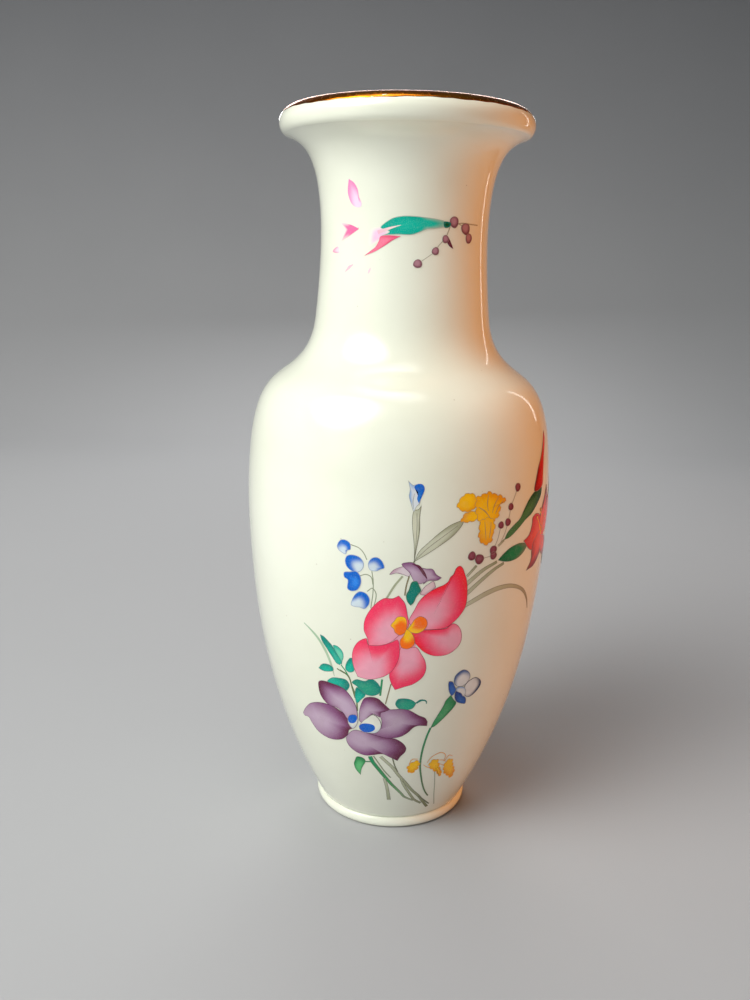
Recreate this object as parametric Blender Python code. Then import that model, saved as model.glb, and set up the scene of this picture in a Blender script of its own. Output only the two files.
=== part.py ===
"""Baluster flower vase: glazed porcelain body and neck, foot ring, gilt rim and overglaze enamel motifs.

Every piece is turned about the vertical axis. The origin is the middle of the foot's resting face,
+Z is up and the decorated front faces -Y. Dimensions are in millimetres until MM turns them to metres.
"""
import math

import bmesh
import bpy
import numpy as np

MM = 0.001

# Driving dimensions
HEIGHT = 305.0            # foot to the crest of the lip
WALL = 4.0                # body and neck wall, measured square to the glaze
FLOOR_TOP = 10.0          # inside floor above the resting plane
FLOOR_CORNER = 6.0        # round between the inside floor and the wall
SEAM_HEIGHT = 214.0       # where the neck is luted to the shoulder
GAP = 0.3                 # clearance kept between pieces that touch
SEGMENTS = 48             # facets round the axis

# Foot ring
FOOT_HEIGHT = 5.0
FOOT_BEAD_RADIUS = 35.0
FOOT_BEAD_HEIGHT = 2.6    # height of the bead's widest line
FOOT_TOP_RADIUS = 34.0
FOOT_REST_OUTER = 33.0    # outer edge of the flat resting face
FOOT_REST_INNER = 30.0
FOOT_INNER_TOP = 28.5

# Lip: an oval roll, wider outside its crest than inside it
LIP_CREST_RADIUS = 43.0
LIP_CENTRE_HEIGHT = 298.6
LIP_OUTER_REACH = 8.4     # crest to the widest line
LIP_UNDER_RADIUS = 48.6   # middle of the roll's underside
LIP_UNDER_DROP = 4.4
LIP_TUCK = -75.0          # angle on the roll where the flare runs into it
LIP_INNER_REACH = 5.0
LIP_INNER_DROP = 5.5

# Gilt band, as angles round the lip: 0 is the widest line, 90 the crest, 180 straight into the mouth
GILT_START = 32.0
GILT_END = 140.0
GILT_END_GAP = 4.0        # degrees left clear at each edge of the rebate
GILT_THICKNESS = 0.5

# Outside of the glaze, foot to the lip's underside: (height, radius)
OUTER_STATIONS = [
    (5.3, 34.2), (10.7, 36.8), (18.3, 40.4), (30.5, 45.6), (48.8, 52.0), (73.2, 58.3), (97.6, 62.4),
    (122.0, 64.8), (146.0, 65.7), (164.7, 65.0), (177.0, 63.6), (184.5, 61.9), (190.6, 59.6),
    (196.7, 55.4), (203.6, 46.8), (209.0, 41.6), (216.6, 37.9), (226.0, 36.3), (240.0, 35.1),
    (254.0, 34.5), (266.0, 34.8), (273.0, 35.5), (279.0, 36.6), (284.0, 38.2), (287.8, 40.1),
    (290.5, 42.3), (292.3, 44.7), (293.5, 46.9), (294.3, 49.1),
]
# Inside of the mouth, lip to the neck's straight bore: (height, radius)
MOUTH_STATIONS = [(299.5, 38.0), (292.0, 36.3), (284.0, 33.7), (275.0, 31.6), (262.0, 30.6)]

# Enamel motifs, thin coloured skins fired on the glaze. Each has its place (degrees round to the right
# of the front, height), half width, half height, number of petals and how deep the gaps between them cut.
ENAMEL_GAP = 0.35
ENAMEL_THICKNESS = 0.3
MOTIFS = {
    "neck_petals": (-38.0, 262.0, 5.0, 11.0, 3, 0.30, "pink_enamel"),
    "neck_bud": (3.0, 258.0, 14.0, 4.5, 2, 0.10, "green_enamel"),
    "pink_flower": (5.0, 107.0, 19.0, 17.0, 5, 0.22, "pink_enamel"),
    "purple_flower": (-14.0, 61.5, 22.0, 14.0, 5, 0.22, "purple_enamel"),
    "lilac_flower": (8.5, 132.5, 8.0, 4.2, 3, 0.20, "purple_enamel"),
    "daffodil": (30.0, 151.0, 11.0, 9.0, 6, 0.15, "yellow_enamel"),
    "red_lily": (68.0, 143.0, 13.0, 18.0, 5, 0.30, "red_enamel"),
    "bluebells": (-12.5, 129.0, 7.0, 11.0, 4, 0.20, "blue_enamel"),
    "iris_bud": (6.0, 161.0, 2.8, 6.0, 2, 0.10, "blue_enamel"),
    "tulip_bud": (29.5, 79.0, 7.5, 7.5, 3, 0.12, "blue_enamel"),
}
ENAMEL_COLOURS = {
    "pink_enamel": (0.85, 0.25, 0.38),
    "purple_enamel": (0.40, 0.24, 0.44),
    "yellow_enamel": (0.90, 0.58, 0.08),
    "red_enamel": (0.78, 0.16, 0.06),
    "blue_enamel": (0.12, 0.28, 0.70),
    "green_enamel": (0.08, 0.45, 0.32),
}
MOTIF_CORNERS = 20        # points round a motif's edge
MOTIF_RINGS = 3           # rings between its middle and its edge

FRONT = -90.0             # degrees: the front faces -Y
PROFILE_STEP = 9.0        # spacing of a turned outline's points along its length
FINE_STEP = 0.5           # spacing where the glaze's exact surface is looked up


def spline_through(points, step):
    """A natural cubic spline through (height, radius) points, read at even spacing."""
    knots = np.array(points, dtype=float)
    spans = np.linalg.norm(np.diff(knots, axis=0), axis=1)
    at = np.concatenate([[0.0], np.cumsum(spans)])
    count = len(knots)
    system = np.eye(count)
    slopes = np.zeros((count, 2))
    for i in range(1, count - 1):
        system[i, i - 1:i + 2] = spans[i - 1], 2 * (spans[i - 1] + spans[i]), spans[i]
        slopes[i] = 6 * ((knots[i + 1] - knots[i]) / spans[i] - (knots[i] - knots[i - 1]) / spans[i - 1])
    bend = np.linalg.solve(system, slopes)
    places = np.linspace(0.0, at[-1], max(2, round(at[-1] / step)) + 1)
    curve = []
    for place in places:
        i = min(np.searchsorted(at, place, side="right") - 1, count - 2)
        span, b = spans[i], (place - at[i]) / spans[i]
        a = 1 - b
        curve.append(a * knots[i] + b * knots[i + 1]
                     + ((a ** 3 - a) * bend[i] + (b ** 3 - b) * bend[i + 1]) * span ** 2 / 6)
    return np.array(curve)


def offset(curve, distance):
    """The curve moved along its normals; positive is away from the axis when it climbs."""
    along = np.gradient(curve, axis=0)
    along /= np.linalg.norm(along, axis=1)[:, None]
    return curve + distance * np.stack([-along[:, 1], along[:, 0]], axis=1)


def cut_at(curve, height):
    """A rising curve split at a height: the part below and the part above, both ending on it."""
    radius = np.interp(height, curve[:, 0], curve[:, 1])
    below = curve[curve[:, 0] < height - 1.0]
    above = curve[curve[:, 0] > height + 1.0]
    return np.vstack([below, [height, radius]]), np.vstack([[height, radius], above])


def oval(centre, reach, start, end, count):
    """An arc of an oval about (height, radius), angles from straight outwards towards the top."""
    turn = np.radians(np.linspace(start, end, count))
    return np.stack([centre[0] + reach[0] * np.sin(turn), centre[1] + reach[1] * np.cos(turn)], axis=1)


def lip_arc(start, end, depth, count=5):
    """The lip's oval roll between two angles, a depth under its surface."""
    outer = oval((LIP_CENTRE_HEIGHT, LIP_CREST_RADIUS),
                 (HEIGHT - LIP_CENTRE_HEIGHT - depth, LIP_OUTER_REACH - depth), start, min(end, 90.0), count)
    if end <= 90.0:
        return outer
    inner = oval((HEIGHT - LIP_INNER_DROP, LIP_CREST_RADIUS),
                 (LIP_INNER_DROP - depth, LIP_INNER_REACH - depth), max(start, 90.0), end, count)
    return inner if start >= 90.0 else np.vstack([outer, inner[1:]])


def finished(mesh_data, name, material):
    """Turns a bmesh into a named, smooth-shaded object with its material."""
    bmesh.ops.remove_doubles(mesh_data, verts=mesh_data.verts, dist=1e-6)
    bmesh.ops.recalc_face_normals(mesh_data, faces=mesh_data.faces)
    mesh = bpy.data.meshes.new(name)
    mesh_data.to_mesh(mesh)
    mesh_data.free()
    mesh.shade_smooth()
    mesh.set_sharp_from_angle(angle=math.radians(35))
    mesh.materials.append(material)
    piece = bpy.data.objects.new(name, mesh)
    bpy.context.scene.collection.objects.link(piece)
    return piece


def turned(name, outline, material, closed=True):
    """A piece turned all the way round the axis from a (height, radius) outline."""
    mesh_data = bmesh.new()
    start = math.radians(FRONT)
    across, along = MM * math.cos(start), MM * math.sin(start)
    corners = [mesh_data.verts.new((radius * across, radius * along, MM * height))
               for height, radius in outline]
    edges = [mesh_data.edges.new(pair) for pair in zip(corners, corners[1:])]
    if closed:
        edges.append(mesh_data.edges.new((corners[-1], corners[0])))
    bmesh.ops.spin(mesh_data, geom=corners + edges, cent=(0, 0, 0), axis=(0, 0, 1), steps=SEGMENTS,
                   angle=math.tau, use_merge=True)
    return finished(mesh_data, name, material)


def principled(name, colour, roughness, metallic=0.0):
    material = bpy.data.materials.new(name)
    material.use_nodes = True
    shader = material.node_tree.nodes["Principled BSDF"]
    shader.inputs["Base Color"].default_value = (*colour, 1.0)
    shader.inputs["Roughness"].default_value = roughness
    shader.inputs["Metallic"].default_value = metallic
    return material


def outer_curve():
    return spline_through(OUTER_STATIONS, PROFILE_STEP)


def vase_body(porcelain):
    """The belly with its floor: outside up to the seam, inside back down to the middle of the floor."""
    outside, _ = cut_at(outer_curve(), SEAM_HEIGHT)
    inside, _ = cut_at(offset(outer_curve(), -WALL), SEAM_HEIGHT)
    wall_foot = FLOOR_TOP + FLOOR_CORNER
    inside = inside[inside[:, 0] > wall_foot]
    corner_radius = inside[0, 1] - FLOOR_CORNER
    corner = oval((wall_foot, corner_radius), (FLOOR_CORNER, FLOOR_CORNER), 0.0, -90.0, 4)
    outline = np.vstack([[outside[0, 0], 0.0], outside, inside[::-1], corner, [FLOOR_TOP, 0.0]])
    return turned("vase_body", outline, porcelain, closed=False)


def vase_neck(porcelain):
    """The neck with its flared mouth and rolled lip, rebated where the gilt lies."""
    _, outside = cut_at(outer_curve(), SEAM_HEIGHT + GAP)
    _, bore = cut_at(offset(outer_curve(), -WALL), SEAM_HEIGHT + GAP)
    bore = bore[bore[:, 0] < MOUTH_STATIONS[-1][0] - PROFILE_STEP]
    under_reach = LIP_CREST_RADIUS + LIP_OUTER_REACH - LIP_UNDER_RADIUS
    underside = oval((LIP_CENTRE_HEIGHT, LIP_UNDER_RADIUS), (LIP_UNDER_DROP, under_reach), LIP_TUCK, 0.0, 5)
    rebate = lip_arc(GILT_START, GILT_END, GILT_THICKNESS + GAP)
    mouth = spline_through(MOUTH_STATIONS, PROFILE_STEP)
    outline = np.vstack([outside, underside, lip_arc(0.0, GILT_START, 0.0)[1:], rebate,
                         lip_arc(GILT_END, 180.0, 0.0), mouth[1:], bore[::-1]])
    return turned("vase_neck", outline, porcelain)


def foot_ring(porcelain):
    """The ring the vase stands on: a rounded bead outside, a narrow flat resting face below."""
    bead_lower = oval((FOOT_BEAD_HEIGHT, FOOT_REST_OUTER),
                      (FOOT_BEAD_HEIGHT, FOOT_BEAD_RADIUS - FOOT_REST_OUTER), -90.0, 0.0, 5)
    bead_upper = oval((FOOT_BEAD_HEIGHT, FOOT_TOP_RADIUS),
                      (FOOT_HEIGHT - FOOT_BEAD_HEIGHT, FOOT_BEAD_RADIUS - FOOT_TOP_RADIUS), 0.0, 90.0, 5)
    inside = [[FOOT_HEIGHT, FOOT_INNER_TOP]]
    outline = np.vstack([[0.0, FOOT_REST_INNER], bead_lower, bead_upper[1:], inside])
    return turned("foot_ring", outline, porcelain)


def gilt_rim(gold):
    """The gold band let into the top of the lip."""
    start, end = GILT_START + GILT_END_GAP, GILT_END - GILT_END_GAP
    outline = np.vstack([lip_arc(start, end, 0.0), lip_arc(start, end, GILT_THICKNESS)[::-1]])
    return turned("gilt_rim", outline, gold)


def surface_lookup():
    """The glaze's finely read heights, radii, climb along the outline, and normals."""
    curve = spline_through(OUTER_STATIONS, FINE_STEP)
    normals = offset(curve, 1.0) - curve
    climb = np.concatenate([[0.0], np.cumsum(np.linalg.norm(np.diff(curve, axis=0), axis=1))])
    return curve, climb, normals


def on_glaze(lookup, azimuth, height, right, up, lift):
    """A point above the glaze: so far right and up along the surface from a place on it."""
    curve, climb, normals = lookup
    at = np.interp(height, curve[:, 0], climb) + up
    level, radius, normal_up, normal_out = (np.interp(at, climb, column)
                                            for column in (*curve.T, *normals.T))
    angle = math.radians(FRONT + azimuth) + right / radius
    reach = radius + lift * normal_out
    return MM * reach * math.cos(angle), MM * reach * math.sin(angle), MM * (level + lift * normal_up)


def enamel_motif(name, lookup, material):
    """A closed skin that follows the glaze, with a petalled outline."""
    azimuth, height, half_width, half_height, petals, notch, _ = MOTIFS[name]
    mesh_data = bmesh.new()
    layers = []
    for lift in (ENAMEL_GAP, ENAMEL_GAP + ENAMEL_THICKNESS):
        middle = mesh_data.verts.new(on_glaze(lookup, azimuth, height, 0.0, 0.0, lift))
        rings = []
        for ring in range(1, MOTIF_RINGS + 1):
            share = ring / MOTIF_RINGS
            corners = []
            for corner in range(MOTIF_CORNERS):
                turn = math.tau * corner / MOTIF_CORNERS
                reach = share * (1 - notch * (0.5 - 0.5 * math.cos(petals * (turn - math.pi / 2))))
                corners.append(mesh_data.verts.new(on_glaze(
                    lookup, azimuth, height, reach * half_width * math.cos(turn),
                    reach * half_height * math.sin(turn), lift)))
            rings.append(corners)
        layers.append((middle, rings))
    for middle, rings in layers:
        for i in range(MOTIF_CORNERS):
            j = (i + 1) % MOTIF_CORNERS
            mesh_data.faces.new((middle, rings[0][i], rings[0][j]))
            for inner, outer in zip(rings, rings[1:]):
                mesh_data.faces.new((inner[i], outer[i], outer[j], inner[j]))
    back_edge, front_edge = (rings[-1] for _, rings in layers)
    for i in range(MOTIF_CORNERS):
        j = (i + 1) % MOTIF_CORNERS
        mesh_data.faces.new((back_edge[i], back_edge[j], front_edge[j], front_edge[i]))
    return finished(mesh_data, name, material)


def build():
    for item in list(bpy.context.scene.objects):
        bpy.data.objects.remove(item, do_unlink=True)
    porcelain = principled("glazed_porcelain", (0.86, 0.86, 0.78), 0.12)
    foot_porcelain = principled("foot_porcelain", (0.88, 0.87, 0.80), 0.35)
    gold = principled("gilt", (0.80, 0.45, 0.14), 0.22, metallic=1.0)
    enamels = {slot: principled(slot, colour, 0.2) for slot, colour in ENAMEL_COLOURS.items()}
    vase_body(porcelain)
    vase_neck(porcelain)
    foot_ring(foot_porcelain)
    gilt_rim(gold)
    lookup = surface_lookup()
    for name, motif in MOTIFS.items():
        enamel_motif(name, lookup, enamels[motif[-1]])


build()
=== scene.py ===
"""Porcelain flower vase: fine turned surfaces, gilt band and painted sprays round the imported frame.

Lengths are in millimetres until MM turns them to metres. A place on the glaze is given as degrees round
to the right of the front (-Y) and a height; shapes near it are drawn flat, (right, up) from that place.
"""
import math

import bmesh
import bpy
import numpy as np
from mathutils import Matrix, Vector


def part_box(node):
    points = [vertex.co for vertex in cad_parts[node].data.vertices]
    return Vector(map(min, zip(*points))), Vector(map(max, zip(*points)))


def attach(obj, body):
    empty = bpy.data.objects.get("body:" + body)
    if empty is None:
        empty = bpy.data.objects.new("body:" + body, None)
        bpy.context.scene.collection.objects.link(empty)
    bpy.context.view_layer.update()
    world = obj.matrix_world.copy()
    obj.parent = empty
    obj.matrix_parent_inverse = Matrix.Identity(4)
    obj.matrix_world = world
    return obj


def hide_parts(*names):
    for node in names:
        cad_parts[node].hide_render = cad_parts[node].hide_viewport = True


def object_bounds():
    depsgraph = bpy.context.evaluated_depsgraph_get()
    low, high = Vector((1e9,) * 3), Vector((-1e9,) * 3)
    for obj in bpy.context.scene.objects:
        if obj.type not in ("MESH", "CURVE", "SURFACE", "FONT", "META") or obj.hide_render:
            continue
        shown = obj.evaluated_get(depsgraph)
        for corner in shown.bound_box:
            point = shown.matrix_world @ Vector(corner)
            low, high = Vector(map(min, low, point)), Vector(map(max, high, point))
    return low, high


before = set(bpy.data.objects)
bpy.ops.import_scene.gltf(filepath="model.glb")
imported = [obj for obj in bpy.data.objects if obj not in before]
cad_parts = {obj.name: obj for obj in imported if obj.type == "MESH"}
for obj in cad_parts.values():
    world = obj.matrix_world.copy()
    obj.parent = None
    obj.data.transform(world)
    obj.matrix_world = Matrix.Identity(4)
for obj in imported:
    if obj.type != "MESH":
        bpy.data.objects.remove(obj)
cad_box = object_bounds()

MM = 0.001
BODY = "root"

# Turned outline, as in the frame: the vase's height and its foot come from the CAD
HEIGHT = cad_box[1][2] / MM
FOOT_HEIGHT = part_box("foot_ring")[1][2] / MM
BASE = FOOT_HEIGHT + 0.3                  # underside of the body
OUTER_STATIONS = [
    (5.3, 34.2), (10.7, 36.8), (18.3, 40.4), (30.5, 45.6), (48.8, 52.0), (73.2, 58.3), (97.6, 62.4),
    (122.0, 64.8), (146.0, 65.7), (164.7, 65.0), (177.0, 63.6), (184.5, 61.9), (190.6, 59.6),
    (196.7, 55.4), (203.6, 46.8), (209.0, 41.6), (216.6, 37.9), (226.0, 36.3), (240.0, 35.1),
    (254.0, 34.5), (266.0, 34.8), (273.0, 35.5), (279.0, 36.6), (284.0, 38.2), (287.8, 40.1),
    (290.5, 42.3), (292.3, 44.7), (293.5, 46.9), (294.3, 49.1),
]
MOUTH_STATIONS = [(299.5, 38.0), (292.0, 36.3), (284.0, 33.7), (275.0, 31.6), (262.0, 30.6)]
WALL = 4.0
FLOOR_TOP = 10.0
FLOOR_CORNER = 6.0
LIP_CREST_RADIUS = 43.0
LIP_CENTRE_HEIGHT = 298.6
LIP_OUTER_REACH = 8.4
LIP_UNDER_RADIUS = 48.6
LIP_UNDER_DROP = 4.4
LIP_TUCK = -75.0                          # angle on the roll where the flare runs into it
LIP_INNER_REACH = 5.0
LIP_INNER_DROP = 5.5
FACETS = 192
OUTSIDE_STEP = 1.2                        # spacing of points down the outside
INSIDE_STEP = 3.0                         # spacing of points down the inside
UNDERSIDE_POINTS = 12
ROLL_POINTS = 46
CORNER_POINTS = 8
FLAT_POINTS = 10                          # across the floor, and across the body's underside

# Foot bead
BEAD_RADIUS = 35.0
BEAD_HEIGHT = 2.6
REST_OUTER = 33.0
REST_INNER = 30.0
FOOT_INNER_TOP = 28.5
FOOT_TOP_RADIUS = 34.0
BEAD_INSET = 0.6                          # how far inside the top's edge the bead is centred
BEAD_POINTS = 16

# Gilt band: angles round the lip, 0 at the widest line and 90 at the crest
GILT_START = 30.0
GILT_END = 138.0
GILT_LIFT = 0.05
GILT_DEPTH = 0.3                          # how far the band's underside goes into the glaze
GILT_COLUMNS = 22

# Enamel: shapes lie in thin layers over the glaze
BASE_LIFT = 0.03
LAYER_STEP = 0.02
SINK = 0.15                               # how far each shape's underside goes into the glaze
CELL = 0.55                               # spacing of points along an outline
RING_STEP = 0.9                           # spacing of rings from a petal's focus to its rim
LINE_WIDTH = 0.16
SHARP = True                              # marks a point of an outline as a corner

# Places the painting is measured from: degrees round to the right, and a height
NECK = (3.0, 258.0)
PINK_HEART = (5.0, 108.0)
PURPLE_HEART = (-14.0, 68.0)
SPRAY_LEFT = (-26.0, 92.0)
SPRAY_FOOT = (-6.0, 26.0)
SPRAY_TOP = (-2.0, 140.0)
SPRAY_RIGHT = (40.0, 146.0)
LILY_HEART = (66.0, 140.0)
LOW_RIGHT = (20.0, 48.0)


def srgb(red, green, blue, cover=1.0):
    """A paint from everyday 0-255 values, as linear light, with how much of the glaze it hides."""
    linear = [((c / 255 + 0.055) / 1.055) ** 2.4 if c > 10 else c / 255 / 12.92
              for c in (red, green, blue)]
    return (*linear, cover)


BLUSH = srgb(238, 164, 184)
ROSE = srgb(246, 56, 98)
SCARLET = srgb(250, 30, 46)
LILAC = srgb(188, 164, 186)
MAUVE = srgb(133, 76, 124)
PLUM = srgb(98, 30, 62)
BERRY_DARK = srgb(104, 46, 64)
BERRY_LIGHT = srgb(176, 128, 142)
TEAL = srgb(0, 126, 114)
TEAL_LIGHT = srgb(14, 176, 152)
LEAF_TEAL = srgb(40, 160, 130)
LEAF_DARK = srgb(8, 84, 40)
LEAF_OLIVE = srgb(104, 120, 80)
STEM_GREY = srgb(164, 170, 140)
STEM_DARK = srgb(84, 84, 56)
STEM_BROWN = srgb(136, 128, 98)
STEM_GREEN = srgb(44, 146, 96)
BLUE = srgb(0, 98, 200)
BLUE_SOFT = srgb(96, 156, 218)
HEART_BLUE = srgb(20, 92, 200)
NAVY = srgb(24, 44, 92)
YELLOW = srgb(254, 200, 16)
AMBER = srgb(238, 156, 0)
ORANGE = srgb(252, 112, 0)
RED = srgb(200, 16, 2)
RED_DARK = srgb(124, 2, 2)
WHITE = srgb(232, 234, 220)
INK = srgb(112, 96, 104, 0.9)

# Colours of the glaze, the gold, the bare foot and the studio
GLAZE_GREY = srgb(226, 229, 211)
GLAZE_WHITE = srgb(233, 236, 221)
IRON_SPECK = srgb(150, 132, 104)
GOLD_DEEP = srgb(240, 128, 14)
GOLD_BRIGHT = srgb(250, 158, 36)
GOLD_BROWN = srgb(190, 92, 20)
BARE_GREY = srgb(205, 198, 180)
BARE_WHITE = srgb(226, 222, 208)
BARE_STAIN = srgb(160, 148, 126)
PAPER_LIGHT = srgb(184, 185, 187)
PAPER_DARK = srgb(100, 102, 106)
CARD_BROWN = srgb(84, 36, 12)


def faded(paint, cover):
    """The same paint, hiding only this much of the glaze."""
    return (*paint[:3], cover)


# Drawn edges of the petals and leaves: a paint and a width
ROSE_EDGE = {"line": srgb(166, 46, 76), "width": LINE_WIDTH}
PLUM_EDGE = {"line": srgb(90, 46, 78), "width": LINE_WIDTH}
LILAC_EDGE = {"line": srgb(90, 46, 78), "width": 0.14}
LEAF_EDGE = {"line": faded(LEAF_DARK, 0.9)}
TEAL_EDGE = {"line": faded(TEAL, 0.95)}
STEM_EDGE = {"line": STEM_DARK, "width": 0.15}


# ---------------------------------------------------------------- turned outlines

def spline_through(points, step):
    """A natural cubic spline through (height, radius) points, read at even spacing."""
    knots = np.array(points, dtype=float)
    spans = np.linalg.norm(np.diff(knots, axis=0), axis=1)
    at = np.concatenate([[0.0], np.cumsum(spans)])
    count = len(knots)
    system = np.eye(count)
    slopes = np.zeros((count, 2))
    for i in range(1, count - 1):
        system[i, i - 1:i + 2] = spans[i - 1], 2 * (spans[i - 1] + spans[i]), spans[i]
        slopes[i] = 6 * ((knots[i + 1] - knots[i]) / spans[i] - (knots[i] - knots[i - 1]) / spans[i - 1])
    bend = np.linalg.solve(system, slopes)
    places = np.linspace(0.0, at[-1], max(2, round(at[-1] / step)) + 1)
    curve = []
    for place in places:
        i = min(np.searchsorted(at, place, side="right") - 1, count - 2)
        span, b = spans[i], (place - at[i]) / spans[i]
        a = 1 - b
        curve.append(a * knots[i] + b * knots[i + 1]
                     + ((a ** 3 - a) * bend[i] + (b ** 3 - b) * bend[i + 1]) * span ** 2 / 6)
    return np.array(curve)


def outward(curve):
    """Unit normals of a climbing (height, radius) curve, pointing away from the axis."""
    along = np.gradient(curve, axis=0)
    along /= np.linalg.norm(along, axis=1)[:, None]
    return np.stack([-along[:, 1], along[:, 0]], axis=1)


def oval(centre, reach, start, end, count):
    """An arc of an oval about (height, radius), angles from straight outwards towards the top."""
    turn = np.radians(np.linspace(start, end, count))
    return np.stack([centre[0] + reach[0] * np.sin(turn), centre[1] + reach[1] * np.cos(turn)], axis=1)


def lip_point(angle, lift=0.0):
    """A (height, radius) point on the lip's roll; angles past the crest run down into the mouth."""
    if angle <= 90.0:
        centre, reach = LIP_CENTRE_HEIGHT, (HEIGHT - LIP_CENTRE_HEIGHT, LIP_OUTER_REACH)
    else:
        centre, reach = HEIGHT - LIP_INNER_DROP, (LIP_INNER_DROP, LIP_INNER_REACH)
    turn = math.radians(angle)
    return (centre + (reach[0] + lift) * math.sin(turn),
            LIP_CREST_RADIUS + (reach[1] + lift) * math.cos(turn))


def porcelain_outline():
    """The whole section: under the floor, up the outside, over the lip and down the inside."""
    outside = spline_through(OUTER_STATIONS, OUTSIDE_STEP)
    under_reach = LIP_CREST_RADIUS + LIP_OUTER_REACH - LIP_UNDER_RADIUS
    underside = oval((LIP_CENTRE_HEIGHT, LIP_UNDER_RADIUS), (LIP_UNDER_DROP, under_reach),
                     LIP_TUCK, 0.0, UNDERSIDE_POINTS)
    roll = np.array([lip_point(angle) for angle in np.linspace(0.0, 180.0, ROLL_POINTS)])
    mouth = spline_through(MOUTH_STATIONS, INSIDE_STEP)
    inside = spline_through(OUTER_STATIONS, INSIDE_STEP)
    inside = inside - WALL * outward(inside)
    wall_foot = FLOOR_TOP + FLOOR_CORNER
    inside = inside[(inside[:, 0] > wall_foot) & (inside[:, 0] < MOUTH_STATIONS[-1][0] - 2 * INSIDE_STEP)]
    corner = oval((wall_foot, inside[0, 1] - FLOOR_CORNER), (FLOOR_CORNER, FLOOR_CORNER),
                  0.0, -90.0, CORNER_POINTS)
    floor = [(FLOOR_TOP, radius) for radius in np.linspace(corner[-1, 1], 0.0, FLAT_POINTS)[1:]]
    under = [(BASE, radius) for radius in np.linspace(0.0, outside[0, 1], FLAT_POINTS)[:-1]]
    return np.vstack([under, outside, underside, roll[1:], mouth[1:], inside[::-1], corner, floor])


def turned(name, outline, closed):
    """A smooth piece turned all the way round the axis; closed joins the outline's two ends."""
    mesh_data = bmesh.new()
    corners = [mesh_data.verts.new((0.0, -MM * radius, MM * height)) for height, radius in outline]
    edges = [mesh_data.edges.new(pair) for pair in zip(corners, corners[1:])]
    if closed:
        edges.append(mesh_data.edges.new((corners[-1], corners[0])))
    bmesh.ops.spin(mesh_data, geom=corners + edges, cent=(0, 0, 0), axis=(0, 0, 1), steps=FACETS,
                   angle=math.tau, use_merge=True)
    bmesh.ops.remove_doubles(mesh_data, verts=mesh_data.verts, dist=1e-6)
    bmesh.ops.recalc_face_normals(mesh_data, faces=mesh_data.faces)
    mesh = bpy.data.meshes.new(name)
    mesh_data.to_mesh(mesh)
    mesh_data.free()
    mesh.shade_smooth()
    return shown(name, mesh)


def shown(name, mesh):
    """A new object in the scene holding the mesh."""
    piece = bpy.data.objects.new(name, mesh)
    bpy.context.scene.collection.objects.link(piece)
    return piece


# ---------------------------------------------------------------- drawing on the glaze

GLAZE_STEP = 0.25

# The glaze's outline in fine steps, its normals, and how far along it each point lies
GLAZE = spline_through(OUTER_STATIONS, GLAZE_STEP)
GLAZE_NORMALS = outward(GLAZE)
CLIMB = np.concatenate([[0.0], np.cumsum(np.linalg.norm(np.diff(GLAZE, axis=0), axis=1))])


def on_glaze(azimuth, height, flat, lift):
    """Points and normals, in metres, of flat (right, up) shapes wrapped on the glaze round a place."""
    flat = np.asarray(flat, dtype=float)
    at = np.interp(height, GLAZE[:, 0], CLIMB) + flat[:, 1]
    level, radius = (np.interp(at, CLIMB, GLAZE[:, i]) for i in (0, 1))
    rise, out = (np.interp(at, CLIMB, GLAZE_NORMALS[:, i]) for i in (0, 1))
    angle = math.radians(azimuth) + flat[:, 0] / radius
    away = np.stack([np.sin(angle), -np.cos(angle), np.zeros_like(angle)], axis=1)
    normals = away * out[:, None] + np.outer(rise, (0, 0, 1))
    points = away * radius[:, None] + np.outer(level, (0, 0, 1)) + lift * normals
    return MM * points, normals


def smooth_path(points, closed):
    """Evenly spaced points along a smooth curve. A point marked SHARP is a corner."""
    places = np.array([point[:2] for point in points], dtype=float)
    sharp = [len(point) > 2 for point in points]
    count = len(places)
    spans = count if closed else count - 1
    path = []
    for i in range(spans):
        j = (i + 1) % count
        length = np.linalg.norm(places[j] - places[i])
        heading = (places[j] - places[i]) / length

        def tangent(at, before, after):
            """The slope at a point: this span's own at a corner or an end, else its neighbours'."""
            if sharp[at] or (not closed and at in (0, count - 1)):
                return heading
            reach = (np.linalg.norm(places[at] - places[before])
                     + np.linalg.norm(places[after] - places[at]))
            return (places[after] - places[before]) / reach

        leave = tangent(i, i - 1, j)
        arrive = tangent(j, i, (j + 1) % count)
        for t in np.linspace(0.0, 1.0, max(2, math.ceil(length / CELL)) + 1)[:-1]:
            path.append((2 * t ** 3 - 3 * t ** 2 + 1) * places[i]
                        + (t ** 3 - 2 * t ** 2 + t) * length * leave
                        + (3 * t ** 2 - 2 * t ** 3) * places[j]
                        + (t ** 3 - t ** 2) * length * arrive)
    if not closed:
        path.append(places[-1])
    return np.array(path)


def ramp(value, low=0.0, high=1.0):
    """A smooth step from 0 at low to 1 at high."""
    t = np.clip((value - low) / (high - low), 0.0, 1.0)
    return t * t * (3 - 2 * t)


def blend(first, second, share):
    """Rows between the first and the second, by a share for each row."""
    share = np.asarray(share, dtype=float)[:, None]
    return (1 - share) * np.array(first) + share * np.array(second)


def shade(paint, angle=90.0, spread=0.5, start=0.25, full=1.0):
    """Paint laid towards a petal's rim, most of all at an angle.

    Spread is how much of it reaches the far side. Start and full say how far out it begins and is at
    full strength.
    """
    return paint, angle, spread, start, full


def ruffled(edge, depth, wave=3.0):
    """A closed edge pushed in and out in small waves."""
    along = np.cumsum(np.linalg.norm(edge - np.roll(edge, 1, axis=0), axis=1))
    ahead = np.roll(edge, -1, axis=0) - np.roll(edge, 1, axis=0)
    aside = np.stack([-ahead[:, 1], ahead[:, 0]], axis=1)
    aside /= np.linalg.norm(aside, axis=1)[:, None]
    turns = math.tau * along / along[-1] * max(3, round(along[-1] / wave))
    push = np.sin(turns) + 0.5 * np.sin(2 * turns + 1.0)
    return edge + depth * push[:, None] * aside


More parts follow.
